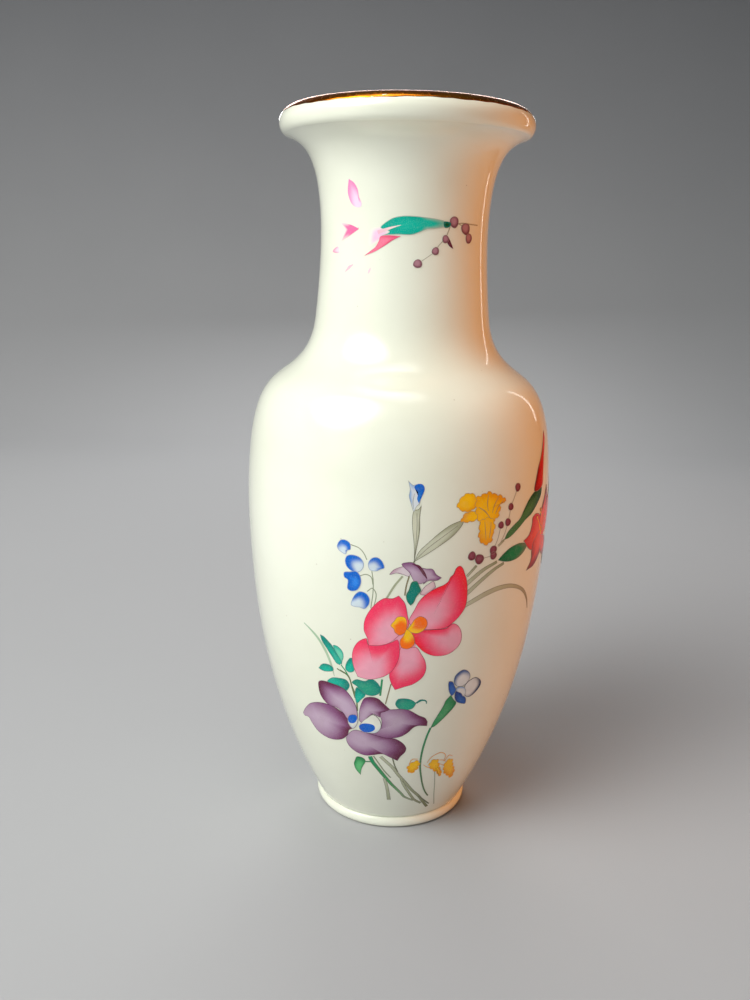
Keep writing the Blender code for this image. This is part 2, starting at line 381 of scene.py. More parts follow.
VASE = []                                 # every piece of the visible vase


class Spray:
    """Painted shapes round one place on the glaze, gathered into one piece."""

    def __init__(self, azimuth, height):
        self.azimuth, self.height = azimuth, height
        self.points, self.normals, self.tints, self.faces = [], [], [], []

    def at(self, azimuth, height):
        """Draws from another place from now on."""
        self.azimuth, self.height = azimuth, height

    def skin(self, flat, tints, faces, rims, layer):
        """A thin closed solid: its flat points with a tint each, its upper faces and its rim loops."""
        first, count = sum(len(part) for part in self.points), len(flat)
        for lift in (BASE_LIFT + LAYER_STEP * layer, -SINK):
            points, normals = on_glaze(self.azimuth, self.height, flat, lift)
            self.points.append(points)
            self.normals.append(normals)
            self.tints.append(np.asarray(tints))
        for face in faces:
            self.faces.append([first + i for i in face])
            self.faces.append([first + count + i for i in reversed(face)])
        for rim in rims:
            for a, b in zip(rim, rim[1:] + rim[:1]):
                self.faces.append([first + a, first + count + a, first + count + b, first + b])

    def petal(self, outline, focus, pale, *shades, layer=4, line=INK, width=0.2, ruffle=0.0):
        """A shape filled from its focus: pale there, shaded towards the rim.

        The focus sees every point of the outline, so that the filling doesn't fold over itself.
        """
        edge = ruffled(smooth_path(outline, closed=True), ruffle)
        turn = edge[:, 0] * np.roll(edge[:, 1], -1) - np.roll(edge[:, 0], -1) * edge[:, 1]
        if turn.sum() < 0:
            edge = edge[::-1]
        focus = np.array(focus, dtype=float)
        spokes = edge - focus
        corners = len(edge)
        rings = max(5, math.ceil(np.linalg.norm(spokes, axis=1).max() / RING_STEP))
        shares = np.linspace(0.0, 1.0, rings + 1)[1:]
        flat = np.vstack([[focus]] + [focus + share * spokes for share in shares])
        bearing = np.degrees(np.arctan2(spokes[:, 1], spokes[:, 0]))
        tints = np.tile(pale, (len(flat), 1))
        for paint, angle, spread, start, full in shades:
            reach = spread + (1 - spread) * (0.5 + 0.5 * np.cos(np.radians(bearing - angle)))
            depth = np.concatenate([[0.0]] + [ramp(share * reach, start, full) for share in shares])
            tints = blend(tints, paint, depth)
        faces = [(0, 1 + i, 1 + (i + 1) % corners) for i in range(corners)]
        for ring in range(rings - 1):
            low, high = 1 + ring * corners, 1 + (ring + 1) * corners
            faces += [(low + i, high + i, high + (i + 1) % corners, low + (i + 1) % corners)
                      for i in range(corners)]
        rim = [1 + (rings - 1) * corners + i for i in range(corners)]
        self.skin(flat, tints, faces, [rim], layer)
        if line:
            self.hoop(edge, line, layer + 0.5, width)

    def hoop(self, edge, paint, layer, width):
        """A thin line drawn round the inside of a closed edge."""
        ahead = np.roll(edge, -1, axis=0) - np.roll(edge, 1, axis=0)
        inward = np.stack([-ahead[:, 1], ahead[:, 0]], axis=1)
        inward /= np.linalg.norm(inward, axis=1)[:, None]
        corners = len(edge)
        flat = np.vstack([edge, edge + width * inward])
        faces = [(i, (i + 1) % corners, corners + (i + 1) % corners, corners + i) for i in range(corners)]
        outer = list(range(corners))
        inner = [corners + i for i in reversed(range(corners))]
        self.skin(flat, np.tile(paint, (2 * corners, 1)), faces, [outer, inner], layer)

    def stroke(self, points, widths, paints, right_paints=None, layer=1, line=None):
        """A brush stroke along a path, with its widths and paints spread along it.

        Paints are for its left side, and for the right too unless right_paints are given. A line is
        drawn down both sides if one is asked for.
        """
        path = smooth_path(points, closed=False)
        count = len(path)
        along = np.linspace(0.0, 1.0, count)
        half = 0.5 * np.interp(along, np.linspace(0.0, 1.0, len(widths)), widths)
        ahead = np.gradient(path, axis=0)
        left = np.stack([-ahead[:, 1], ahead[:, 0]], axis=1)
        left /= np.linalg.norm(left, axis=1)[:, None]
        columns = max(2, math.ceil(2 * half.max() / CELL))
        across = np.linspace(-1.0, 1.0, columns + 1)

        def spread_along(paint_list):
            """The paint at each point of the path."""
            paint_list = np.array(paint_list, dtype=float)
            where = np.linspace(0.0, 1.0, len(paint_list))
            return np.stack([np.interp(along, where, paint_list[:, k]) for k in range(4)], axis=1)

        left_tint = spread_along(paints)
        right_tint = spread_along(right_paints or paints)
        flat, tints = [], []
        for side in across:
            flat.append(path + side * half[:, None] * left)
            mix = ramp(0.5 + 0.5 * side, 0.2, 0.8)
            tints.append(right_tint * (1 - mix) + left_tint * mix)
        faces = []
        for column in range(columns):
            low, high = column * count, (column + 1) * count
            faces += [(low + i, low + i + 1, high + i + 1, high + i) for i in range(count - 1)]
        rim = (list(range(count)) + [column * count + count - 1 for column in range(1, columns + 1)]
               + [columns * count + i for i in reversed(range(count - 1))]
               + [column * count for column in reversed(range(1, columns))])
        self.skin(np.vstack(flat), np.vstack(tints), faces, [rim], layer)
        if line:
            for side in (-1.0, 1.0):
                trace = path + side * half[:, None] * left
                self.stroke([*trace[:-1:3], trace[-1]], [LINE_WIDTH], [line], layer=layer + 0.5)

    def berry(self, right, up, radius, light=BERRY_LIGHT, dark=BERRY_DARK, layer=5):
        """A small round berry, a little uneven, lighter in the middle."""
        turns = np.linspace(0.0, math.tau, 10)[:-1]
        wobble = 1 + 0.05 * np.sin(3 * turns + right) + 0.04 * np.cos(2 * turns + up)
        outline = [(right + radius * w * math.cos(t), up + radius * w * math.sin(t))
                   for t, w in zip(turns, wobble)]
        self.petal(outline, (right - 0.15 * radius, up + 0.2 * radius), light,
                shade(dark, -60.0, 0.75, 0.3), layer=layer, line=faded(BERRY_DARK, 0.8), width=LINE_WIDTH)

    def piece(self, name, slot, *nodes):
        """The finished piece, riding on the vase, standing for its CAD nodes."""
        mesh = bpy.data.meshes.new(name)
        mesh.from_pydata(np.vstack(self.points).tolist(), [], self.faces)
        tint = mesh.attributes.new("enamel_tint", "FLOAT_COLOR", "POINT")
        tint.data.foreach_set("color", np.vstack(self.tints).astype(np.float32).ravel())
        mesh.shade_smooth()
        mesh.normals_split_custom_set_from_vertices(np.vstack(self.normals).tolist())
        mesh.materials.append(ENAMEL)
        return fitted(shown(name, mesh), slot, *nodes)


def fitted(piece, slot, *nodes):
    """The piece, riding on the vase, with the CAD nodes it stands for. The paint slot is not used."""
    VASE.append(piece)
    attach(piece, BODY)
    if nodes:
        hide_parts(*nodes)
    return piece


# ---------------------------------------------------------------- materials

def material(name):
    """A new material and an empty node tree to fill."""
    made = bpy.data.materials.new(name)
    made.use_nodes = True
    made.node_tree.nodes.clear()
    return made, Nodes(made.node_tree)


# Places of a mix node's colour sockets, whose names it shares with its other kinds of socket
COLOUR_A = 6
COLOUR_B = 7
COLOUR_RESULT = 2


class Nodes:
    """Short ways to add and join shader nodes."""

    def __init__(self, tree):
        self.tree = tree

    def add(self, kind, inputs=None, **settings):
        """A new node with its settings made and its inputs fed."""
        node = self.tree.nodes.new(kind)
        for key, value in settings.items():
            setattr(node, key, value)
        for key, value in (inputs or {}).items():
            self.feed(value, node.inputs[key])
        return node

    def feed(self, value, socket):
        """Joins a socket to another, or gives it a plain value."""
        if isinstance(value, bpy.types.NodeSocket):
            self.tree.links.new(value, socket)
        else:
            socket.default_value = value

    def noise(self, place, scale, detail=3.0, roughness=0.5, distortion=0.0):
        settings = {"Vector": place, "Scale": scale, "Detail": detail, "Roughness": roughness,
                    "Distortion": distortion}
        return self.add("ShaderNodeTexNoise", settings).outputs["Fac"]

    def span(self, value, low, high, to_low=0.0, to_high=1.0):
        """The value stretched from low..high to to_low..to_high, and held inside it."""
        settings = {"Value": value, "From Min": low, "From Max": high, "To Min": to_low,
                    "To Max": to_high}
        return self.add("ShaderNodeMapRange", settings).outputs["Result"]

    def maths(self, operation, first, second=0.0):
        node = self.add("ShaderNodeMath", {0: first, 1: second}, operation=operation)
        return node.outputs[0]

    def mix(self, share, first, second, blend_type="MIX"):
        node = self.add("ShaderNodeMix", data_type="RGBA", blend_type=blend_type)
        self.feed(share, node.inputs["Factor"])
        self.feed(first, node.inputs[COLOUR_A])
        self.feed(second, node.inputs[COLOUR_B])
        return node.outputs[COLOUR_RESULT]

    def bump(self, height, distance, strength=1.0, normal=None):
        settings = {"Height": height, "Distance": distance, "Strength": strength}
        if normal is not None:
            settings["Normal"] = normal
        return self.add("ShaderNodeBump", settings).outputs["Normal"]

    def place(self):
        return self.add("ShaderNodeTexCoord").outputs["Object"]

    def surface(self, inputs):
        """The material's finished surface, from the inputs of a Principled shader."""
        shader = self.add("ShaderNodeBsdfPrincipled", inputs)
        self.add("ShaderNodeOutputMaterial", {"Surface": shader.outputs["BSDF"]})


GLAZE_IOR = 1.54
ENAMEL_IOR = 1.5
SPECK_RARITY = 0.57                       # the higher, the fewer patches of the glaze hold specks
SPECK_STRENGTH = 0.65


def glaze_group():
    """Fired porcelain glaze: faint cloudiness, pinpricks of iron and a slightly wavy, glossy skin."""
    group = bpy.data.node_groups.new("glaze", "ShaderNodeTree")
    for name, kind in (("Color", "NodeSocketColor"), ("Roughness", "NodeSocketFloat"),
                       ("Normal", "NodeSocketVector")):
        group.interface.new_socket(name, in_out="OUTPUT", socket_type=kind)
    nodes = Nodes(group)
    place = nodes.place()
    cloud = nodes.noise(place, scale=14.0, detail=4.0, roughness=0.6)
    tone = nodes.mix(nodes.span(cloud, 0.3, 0.7), GLAZE_GREY, GLAZE_WHITE)
    specks = nodes.add("ShaderNodeTexVoronoi", {"Vector": place, "Scale": 160.0})
    apart = nodes.maths("GREATER_THAN", nodes.noise(place, scale=60.0, detail=1.0), SPECK_RARITY)
    speck = nodes.maths("MULTIPLY", nodes.span(specks.outputs["Distance"], 0.05, 0.02), apart)
    tone = nodes.mix(nodes.maths("MULTIPLY", speck, SPECK_STRENGTH), tone, IRON_SPECK)
    film = nodes.noise(place, scale=34.0, detail=3.0, roughness=0.55, distortion=0.4)
    swell = nodes.noise(place, scale=22.0, detail=2.0, roughness=0.4)
    waves = nodes.bump(swell, distance=0.0006, strength=0.30)
    pores = nodes.noise(place, scale=420.0, detail=2.0, roughness=0.5)
    orange_peel = nodes.bump(pores, distance=0.00004, strength=0.35, normal=waves)
    nodes.add("NodeGroupOutput", {"Color": tone, "Roughness": nodes.span(film, 0.3, 0.7, 0.07, 0.13),
                                  "Normal": orange_peel})
    return group


def glazed(name):
    """Plain glazed porcelain with a clear coat."""
    made, nodes = material(name)
    glaze = nodes.add("ShaderNodeGroup", node_tree=GLAZE_GROUP).outputs
    nodes.surface({"Base Color": glaze["Color"], "Roughness": glaze["Roughness"],
                   "Normal": glaze["Normal"], "IOR": GLAZE_IOR, "Coat Weight": 0.35,
                   "Coat Roughness": 0.04})
    return made


def enamelled():
    """Overglaze enamel: its own tint, laid in a fine stipple, over the glaze where the paint is thin."""
    made, nodes = material("painted_enamel")
    glaze = nodes.add("ShaderNodeGroup", node_tree=GLAZE_GROUP).outputs
    tint = nodes.add("ShaderNodeAttribute", attribute_name="enamel_tint")
    place = nodes.place()
    brushed = nodes.noise(place, scale=190.0, detail=3.0, roughness=0.5, distortion=0.6)
    stipple = nodes.noise(place, scale=2400.0, detail=1.0, roughness=0.5)
    deep = nodes.mix(1.0, tint.outputs["Color"], (0.93, 0.90, 0.91, 1.0), "MULTIPLY")
    paint = nodes.mix(nodes.span(brushed, 0.35, 0.65), tint.outputs["Color"], deep)
    thin = nodes.maths("ADD", nodes.span(brushed, 0.55, 0.75, 0.0, 0.05),
                       nodes.span(stipple, 0.5, 0.75, 0.0, 0.07))
    cover = nodes.maths("SUBTRACT", tint.outputs["Alpha"], thin)
    cover = nodes.add("ShaderNodeClamp", {"Value": cover}).outputs[0]
    colour = nodes.mix(cover, glaze["Color"], paint)
    normal = nodes.bump(brushed, distance=0.00004, strength=0.4, normal=glaze["Normal"])
    rough = nodes.maths("ADD", glaze["Roughness"], nodes.maths("MULTIPLY", cover, 0.08))
    nodes.surface({"Base Color": colour, "Roughness": rough, "Normal": normal, "IOR": ENAMEL_IOR,
                   "Specular IOR Level": 0.28})
    return made


def gilded():
    """Burnished fired gold, thin and rubbed away in nicks that let the porcelain through."""
    made, nodes = material("fired_gold")
    glaze = nodes.add("ShaderNodeGroup", node_tree=GLAZE_GROUP).outputs
    place = nodes.place()
    stretched = nodes.add("ShaderNodeMapping", {"Vector": place, "Scale": (1.0, 1.0, 2.6)}).outputs[0]
    worn = nodes.noise(stretched, scale=90.0, detail=5.0, roughness=0.7)
    fine = nodes.noise(place, scale=620.0, detail=3.0, roughness=0.6)
    wear = nodes.span(nodes.maths("ADD", worn, nodes.maths("MULTIPLY", fine, 0.12)), 0.72, 0.75)
    patches = nodes.noise(place, scale=60.0, detail=3.0)
    tone = nodes.mix(nodes.span(patches, 0.35, 0.65), GOLD_DEEP, GOLD_BRIGHT)
    tone = nodes.mix(nodes.span(fine, 0.5, 0.75, 0.0, 0.4), tone, GOLD_BROWN)
    gold = nodes.maths("SUBTRACT", 1.0, wear)
    rough = nodes.maths("ADD", nodes.span(fine, 0.3, 0.7, 0.16, 0.30),
                        nodes.maths("MULTIPLY", wear, -0.1))
    colour = nodes.mix(wear, tone, glaze["Color"])
    scratched = nodes.bump(fine, distance=0.00003, strength=0.4, normal=glaze["Normal"])
    nodes.surface({"Base Color": colour, "Metallic": gold, "Roughness": rough, "Normal": scratched,
                   "IOR": GLAZE_IOR})
    return made


def foot_material():
    """Glazed bead over bare ground porcelain: dull and grey on the resting ring and inside it."""
    made, nodes = material("foot_porcelain")
    glaze = nodes.add("ShaderNodeGroup", node_tree=GLAZE_GROUP).outputs
    place = nodes.place()
    part = nodes.add("ShaderNodeSeparateXYZ", {"Vector": place}).outputs
    radius = nodes.maths("SQRT", nodes.maths("ADD", nodes.maths("MULTIPLY", part["X"], part["X"]),
                                             nodes.maths("MULTIPLY", part["Y"], part["Y"])))
    ragged = nodes.maths("MULTIPLY", nodes.noise(place, scale=300.0, detail=3.0), 0.0008)
    edge = nodes.maths("ADD", radius, ragged)
    outer = nodes.span(edge, MM * (REST_OUTER + 0.5), MM * (REST_OUTER + 0.8))
    high = nodes.span(part["Z"], MM * 0.4, MM * 0.7)
    glossy = nodes.maths("MULTIPLY", outer, high)
    gritty = nodes.noise(place, scale=1400.0, detail=3.0, roughness=0.7)
    bare = nodes.mix(nodes.span(gritty, 0.35, 0.7), BARE_GREY, BARE_WHITE)
    stains = nodes.noise(place, scale=70.0, detail=3.0)
    bare = nodes.mix(nodes.span(stains, 0.5, 0.75, 0.0, 0.5), bare, BARE_STAIN)
    rough = nodes.maths("MAXIMUM", glaze["Roughness"], nodes.span(glossy, 0.0, 1.0, 0.75, 0.0))
    bumped = nodes.bump(gritty, distance=0.0001, strength=0.5, normal=glaze["Normal"])
    nodes.surface({"Base Color": nodes.mix(glossy, bare, glaze["Color"]), "Roughness": rough,
                   "Normal": bumped, "IOR": GLAZE_IOR})
    return made


GLAZE_GROUP = glaze_group()
PORCELAIN = glazed("glazed_porcelain")
ENAMEL = enamelled()
GOLD = gilded()
FOOT = foot_material()


# ---------------------------------------------------------------- the vase

def porcelain_shell():
    """Body, neck and lip as one glazed wall."""
    shell = turned("porcelain_shell", porcelain_outline(), closed=False)
    shell.data.materials.append(PORCELAIN)
    return fitted(shell, "glazed_porcelain", "vase_body", "vase_neck")


def foot_bead():
    """Rounded bead outside, flat ground rest below, sloping face inside."""
    bead = oval((BEAD_HEIGHT, FOOT_TOP_RADIUS - BEAD_INSET),
                (FOOT_HEIGHT - BEAD_HEIGHT, BEAD_RADIUS - FOOT_TOP_RADIUS + BEAD_INSET),
                70.0, -60.0, BEAD_POINTS)
    rest = [(0.0, REST_OUTER), (0.0, 0.5 * (REST_OUTER + REST_INNER)), (0.0, REST_INNER)]
    inside = [(0.4, REST_INNER - 0.5), (FOOT_HEIGHT * 0.5, FOOT_INNER_TOP + 0.7),
              (FOOT_HEIGHT + 0.1, FOOT_INNER_TOP)]
    top = [(FOOT_HEIGHT + 0.1, FOOT_TOP_RADIUS - 1.0)]
    foot = turned("foot_bead", np.vstack([bead, rest, inside, top]), closed=True)
    foot.data.materials.append(FOOT)
    return fitted(foot, "foot_porcelain", "foot_ring")


def gilt_band():
    """Brushed gold over the lip, its two edges a little uneven."""
    turns = np.linspace(0.0, math.tau, 3 * FACETS + 1)[:-1]
    low = (GILT_START + 1.6 * np.sin(3 * turns + 1.0) + 1.1 * np.sin(11 * turns)
           + 0.8 * np.sin(37 * turns + 2.0))
    high = GILT_END + 1.5 * np.sin(4 * turns) + 1.0 * np.sin(17 * turns + 0.5)
    points, faces = [], []
    for lift in (GILT_LIFT, -GILT_DEPTH):
        for turn, first, last in zip(turns, low, high):
            for angle in np.linspace(first, last, GILT_COLUMNS):
                height, radius = lip_point(angle, lift)
                points.append((MM * radius * math.sin(turn), -MM * radius * math.cos(turn), MM * height))
    under = len(turns) * GILT_COLUMNS
    last = GILT_COLUMNS - 1
    for i in range(len(turns)):
        here, there = i * GILT_COLUMNS, (i + 1) % len(turns) * GILT_COLUMNS
        for j in range(last):
            faces.append((here + j, there + j, there + j + 1, here + j + 1))
            faces.append((under + here + j, under + here + j + 1, under + there + j + 1,
                          under + there + j))
        faces.append((here, under + here, under + there, there))
        faces.append((here + last, there + last, under + there + last, under + here + last))
    mesh = bpy.data.meshes.new("gilt_band")
    mesh.from_pydata(points, [], faces)
    mesh.shade_smooth()
    mesh.materials.append(GOLD)
    return fitted(shown("gilt_band", mesh), "gilt", "gilt_rim")


# ---------------------------------------------------------------- the neck's spray

def neck_petals():
    """Loose pink petals on the neck's left."""
    petals = Spray(*NECK)
    petals.petal([(-25, 18, SHARP), (-25.5, 14), (-25, 11.5), (-23.5, 9), (-21.5, 7.8), (-19.5, 7.8),
            (-19, 9), (-20.3, 11.5), (-20.8, 14), (-22.5, 16.5)], (-20.5, 9), srgb(246, 216, 240),
            shade(srgb(240, 138, 194), 115.0, 0.05, 0.2), layer=4, line=None)
    petals.petal([(-29, 2), (-24, 1.3), (-20, -0.2, SHARP), (-24.5, -2.7), (-29, -4.8, SHARP),
            (-27.5, -2), (-26.8, -0.5)], (-24.5, -0.4), srgb(240, 112, 162),
            shade(srgb(244, 176, 206, 0.3), 180.0, 0.0, 0.3), layer=4, line=None)
    petals.petal([(-34.5, -8.7), (-33.2, -7.6), (-31, -6.9), (-30.2, -8), (-30, -9.3, SHARP),
            (-32.5, -9.3)], (-30.8, -8.2), srgb(240, 196, 226, 0.6),
            shade(srgb(238, 136, 176, 0.9), 180.0, 0.1, 0.1), layer=4, line=None)
    petals.petal([(-15, -0.5), (-11, 0.5), (-8, -1.5), (-10, -3), (-12, -5), (-15.5, -6.5)], (-12, -2.5),
            srgb(236, 188, 224, 0.85), shade(srgb(246, 218, 236, 0.0), 180.0, 0.6, 0.3), layer=3,
            line=None)
    petals.petal([(-11, -3), (-8, -2.5), (-3, -2.8, SHARP), (-6, -4.2), (-9, -6.2), (-13, -8.5),
            (-17.5, -10.2, SHARP), (-15.5, -9), (-13, -7), (-11.5, -4.5)], (-10, -5), srgb(240, 120, 150),
            shade(srgb(232, 84, 120), 20.0, 0.5, 0.2), layer=5, line=None)
    petals.stroke([(-12, -1.5), (-7, 0.2), (-3, 1.3)], [1.4, 0.9, 0.1], [srgb(238, 180, 200), WHITE],
            layer=7)
    petals.stroke([(-26.5, -16.3), (-24.5, -14.6), (-22.5, -13.5)], [0.3, 1.2, 0.2],
            [srgb(240, 160, 194, 0.7)])
    petals.stroke([(-15.8, -16.8), (-15.2, -15.6), (-14.8, -14.6)], [0.3, 1.0, 0.2],
            [srgb(242, 190, 214, 0.7)])
    petals.piece("neck_petals_enamel", "pink_enamel", "neck_petals")


def neck_bud():
    """A long green bud across the neck, with twigs for the berries."""
    bud = Spray(*NECK)
    bud.petal([(-11, 0.3), (-7, 3.5), (-3.5, 4.5), (0, 4.7), (5, 4.4), (10, 3.9), (14, 3.2),
            (16.5, 2.3, SHARP), (14, 1), (10, 0.3), (7, 0), (4, -1.2), (1, -2.2), (-4, -2.2), (-7, -2.3),
            (-10.5, -2.7, SHARP), (-7.5, -1.2)], (4, 2), srgb(24, 186, 164),
            shade(srgb(0, 168, 148), 175.0, 0.35, 0.1), shade(srgb(150, 190, 170), 0.0, 0.0, 0.45),
            layer=6, line=faded(TEAL, 0.5))
    bud.petal([(13.5, 2.7), (15, 3), (16.8, 2.4), (16, 1), (14, 0.8)], (15, 1.8), LEAF_DARK,
              shade(TEAL, 0.0, 1.0), layer=7, line=None)
    for points, width in (([(16.5, 1.6), (18.5, 2), (22, 2.6), (26.5, 2.4), (32, 2.2)], 0.45),
                          ([(20, 2.4), (22.5, 1.6), (24.3, 0.6)], 0.3),
                          ([(24, 2.4), (25.8, 0), (26.3, -2.5)], 0.3),
                          ([(16.5, 1.2), (15.6, -1), (14.7, -3)], 0.3),
                          ([(15, -3), (12.5, -5.2), (10.5, -7.5)], 0.25),
                          ([(10, -8.5), (7, -10.5), (4, -12.5)], 0.2)):
        bud.stroke(points, [width], [faded(STEM_BROWN, 0.75)])
    bud.piece("neck_bud_enamel", "green_enamel", "neck_bud")


def neck_berries():
    """Plum berries and one small dark leaf."""
    berries = Spray(*NECK)
    for right, up, radius in ((18.3, 2.9, 2.1), (24.3, 0.6, 2.3), (26.3, -2.9, 1.9), (14.7, -3.5, 1.5),
                              (10.5, -8, 1.5), (3.6, -12.8, 1.7)):
        berries.berry(right, up, radius)
    berries.petal([(15.8, -2.8), (17, -4.5), (18.3, -7, SHARP), (16.4, -6), (15.2, -4.2)], (16.3, -4.5),
                  BERRY_DARK, shade(PLUM, -60.0, 0.5), layer=4, line=None)
    berries.piece("neck_berries", "plum_enamel")


# ---------------------------------------------------------------- the front spray

def pink_flower():
    """Five broad petals, pale at their folds and deep rose at their tips."""
    bloom = Spray(*PINK_HEART)
    bloom.petal([(-2.5, -8), (0, -8.5), (3.5, -8.5), (5.5, -11.5), (7.3, -15), (7.8, -19), (6.5, -22.5),
            (3, -25.5), (-0.5, -26.8), (-4.3, -28.3, SHARP), (-6, -25), (-6.8, -21), (-5, -17),
            (-3.6, -13)], (0, -14), BLUSH, shade(ROSE, -90.0, 0.35, 0.2, 0.9), layer=3, **ROSE_EDGE)
    bloom.petal([(-5.5, -4.5), (-1, -1), (2.5, -3), (3, -8), (-1, -10.5), (-4.5, -9)], (-1, -6), BLUSH,
            layer=2, line=None)
    bloom.petal([(1, -1), (5, -0.8), (10, -0.9), (15, -0.7), (18, 1), (20.5, -0.5), (22, -4), (21.8, -8),
            (19.5, -11), (16, -12.8), (11, -12.8), (7, -11), (4, -8), (2, -5)], (17, -6), BLUSH,
            shade(ROSE, 165.0, 0.16, 0.1, 0.85), shade(SCARLET, 175.0, 0.0, 0.7), layer=3, **ROSE_EDGE)
    bloom.petal([(-4, -5), (-7, -6.5), (-11, -7.8), (-15.5, -7.8), (-16.3, -5.2), (-19.5, -7),
            (-21.5, -10.5), (-22, -14.5), (-21.2, -19), (-19.5, -23.3, SHARP), (-15, -24), (-11, -23),
            (-8, -21.5), (-5.5, -19), (-3.5, -14.5), (-3, -10)], (-13, -18), BLUSH,
            shade(ROSE, 68.0, 0.14, 0.1, 0.8), layer=4, **ROSE_EDGE)
    bloom.petal([(0, 3), (2, 8), (4, 12), (7, 15), (10.5, 17), (13.2, 18), (15, 19.3), (15.7, 21),
            (17.2, 22.3), (17.7, 24.0), (18.6, 25), (19.7, 25.3), (20.8, 24.3), (21.6, 22.4), (22.8, 19),
            (23.4, 14), (23, 8), (21, 4.5), (18, 1.5), (15, -0.5), (10, -0.8), (5, -0.5), (2, 0.5)],
            (9, 4), BLUSH, shade(ROSE, 35.0, 0.3, 0.1, 0.85), shade(SCARLET, 60.0, 0.0, 0.6), layer=5,
            **ROSE_EDGE)
    bloom.petal([(0, 1), (-0.6, 6), (-1.8, 11), (-4.2, 14, SHARP), (-6.5, 12.8), (-10, 12.6), (-14, 9),
            (-17, 3.5), (-17.4, -1.5), (-16, -5), (-15.3, -8.2, SHARP), (-11, -7.9), (-7, -6.4),
            (-3.5, -3)], (-7, -1), BLUSH, shade(ROSE, 115.0, 0.28, 0.15, 0.85), layer=6, **ROSE_EDGE)
    bloom.piece("pink_flower_enamel", "pink_enamel", "pink_flower")


def pink_heart():
    """Three folds of yellow and orange in the middle of the pink flower."""
    heart = Spray(*PINK_HEART)
    rim = faded(srgb(176, 84, 10), 0.9)
    heart.petal([(-0.6, 0.5), (-0.9, 4), (-2.2, 5.2), (-4.5, 5), (-5.6, 3.4), (-7, 1.2), (-5.8, -0.2),
            (-5.2, -1.8), (-3.2, -3), (-1, -1.5)], (-3.2, 1.2), ORANGE,
            shade(YELLOW, 120.0, 0.15, 0.25, 0.75), layer=8, line=rim)
    heart.petal([(-0.4, -0.8), (1, 1.8), (2.2, 4), (4.4, 5.3), (6.8, 4), (7.4, 1.5), (6, -0.9),
            (3.2, -2.2)], (3.5, 1.4), ORANGE, shade(YELLOW, -130.0, 0.1, 0.2, 0.7), layer=8, line=rim)
    heart.petal([(-0.6, -0.2), (-1.8, -3), (-3.2, -5.5), (-2.4, -8.4), (0.3, -9), (2.6, -6.8), (2, -3)],
                (-0.2, -4), YELLOW, shade(ORANGE, -95.0, 0.0, 0.1, 0.6), layer=9, line=rim)
    heart.piece("pink_flower_heart", "yellow_enamel")


def purple_flower():
    """Five mauve petals with wine-dark tips."""
    bloom = Spray(*PURPLE_HEART)
    for layer, focus, mauve, plum, outline in (
            (3, (2, -17), (-40.0, 0.35), (-25.0, 0.0, 0.55), [(-2, -10.5), (-4.5, -12.5), (-6.3, -16),
             (-5.5, -20), (-2.5, -23), (1.5, -24.3), (5, -23.5), (9, -22.5), (12, -24.2),
             (15, -26.2, SHARP), (16.5, -23.5), (18.5, -21), (19, -18.5), (17.5, -15.5), (14.5, -13.3),
             (10, -12.8), (4, -11.3), (1, -10.6)]),
            (4, (16, -4.5), (-30.0, 0.5), (-20.0, 0.2, 0.55), [(9, 0), (11, 2), (14.5, 2.4), (18, 2.7),
             (21, 2), (25, -1), (27.5, -2.5), (28.5, -4.5, SHARP), (28.2, -6.9, SHARP), (26.6, -6.6),
             (24.6, -6.4), (22.5, -7.3), (20, -10), (16.5, -12.3), (11.5, -13), (7, -12), (4, -11),
             (7, -9.5), (9, -7.5), (9.6, -4)]),
            (5, (4, 1), (60.0, 0.4), (40.0, 0.1, 0.5), [(0.3, -5), (0.5, 0), (1.5, 4), (3, 7), (5.5, 8),
             (8.5, 7.5), (10.5, 5.5), (13.3, 2.3, SHARP), (11, 1), (9.5, 0.3), (9, -2), (6.5, -0.5),
             (4, -2.5), (1.5, -6)]),
            (6, (-17, -9), (20.0, 0.35), (0.0, 0.0, 0.6), [(-2, -9), (-3, -6), (-6, -3), (-9, -1),
             (-13, 0.2), (-18, -0.2), (-23, -2.5), (-26.5, -6.5), (-28.5, -10, SHARP), (-27.8, -11.2),
             (-26.4, -11), (-25, -11.1), (-23.5, -13.5), (-20.5, -17), (-16, -18.8), (-12, -18.7),
             (-8, -17), (-5.5, -14), (-4.5, -11)]),
            (7, (-7.5, 3), (130.0, 0.3), (140.0, 0.0, 0.55), [(-0.5, -4), (-0.5, 1), (-1.5, 4.5),
             (-3.5, 8), (-6, 10.5), (-10, 11.5), (-15, 11.8), (-17.3, 10.8), (-17.6, 8), (-17, 4.5),
             (-15.5, 2), (-13.5, 0.3), (-9, -0.5), (-6.5, -2.5), (-5, -5), (-2, -7)])):
        bloom.petal(outline, focus, LILAC, shade(MAUVE, *mauve, 0.1, 0.85), shade(PLUM, *plum),
                    layer=layer, **PLUM_EDGE)
    bloom.piece("purple_flower_enamel", "purple_enamel", "purple_flower")


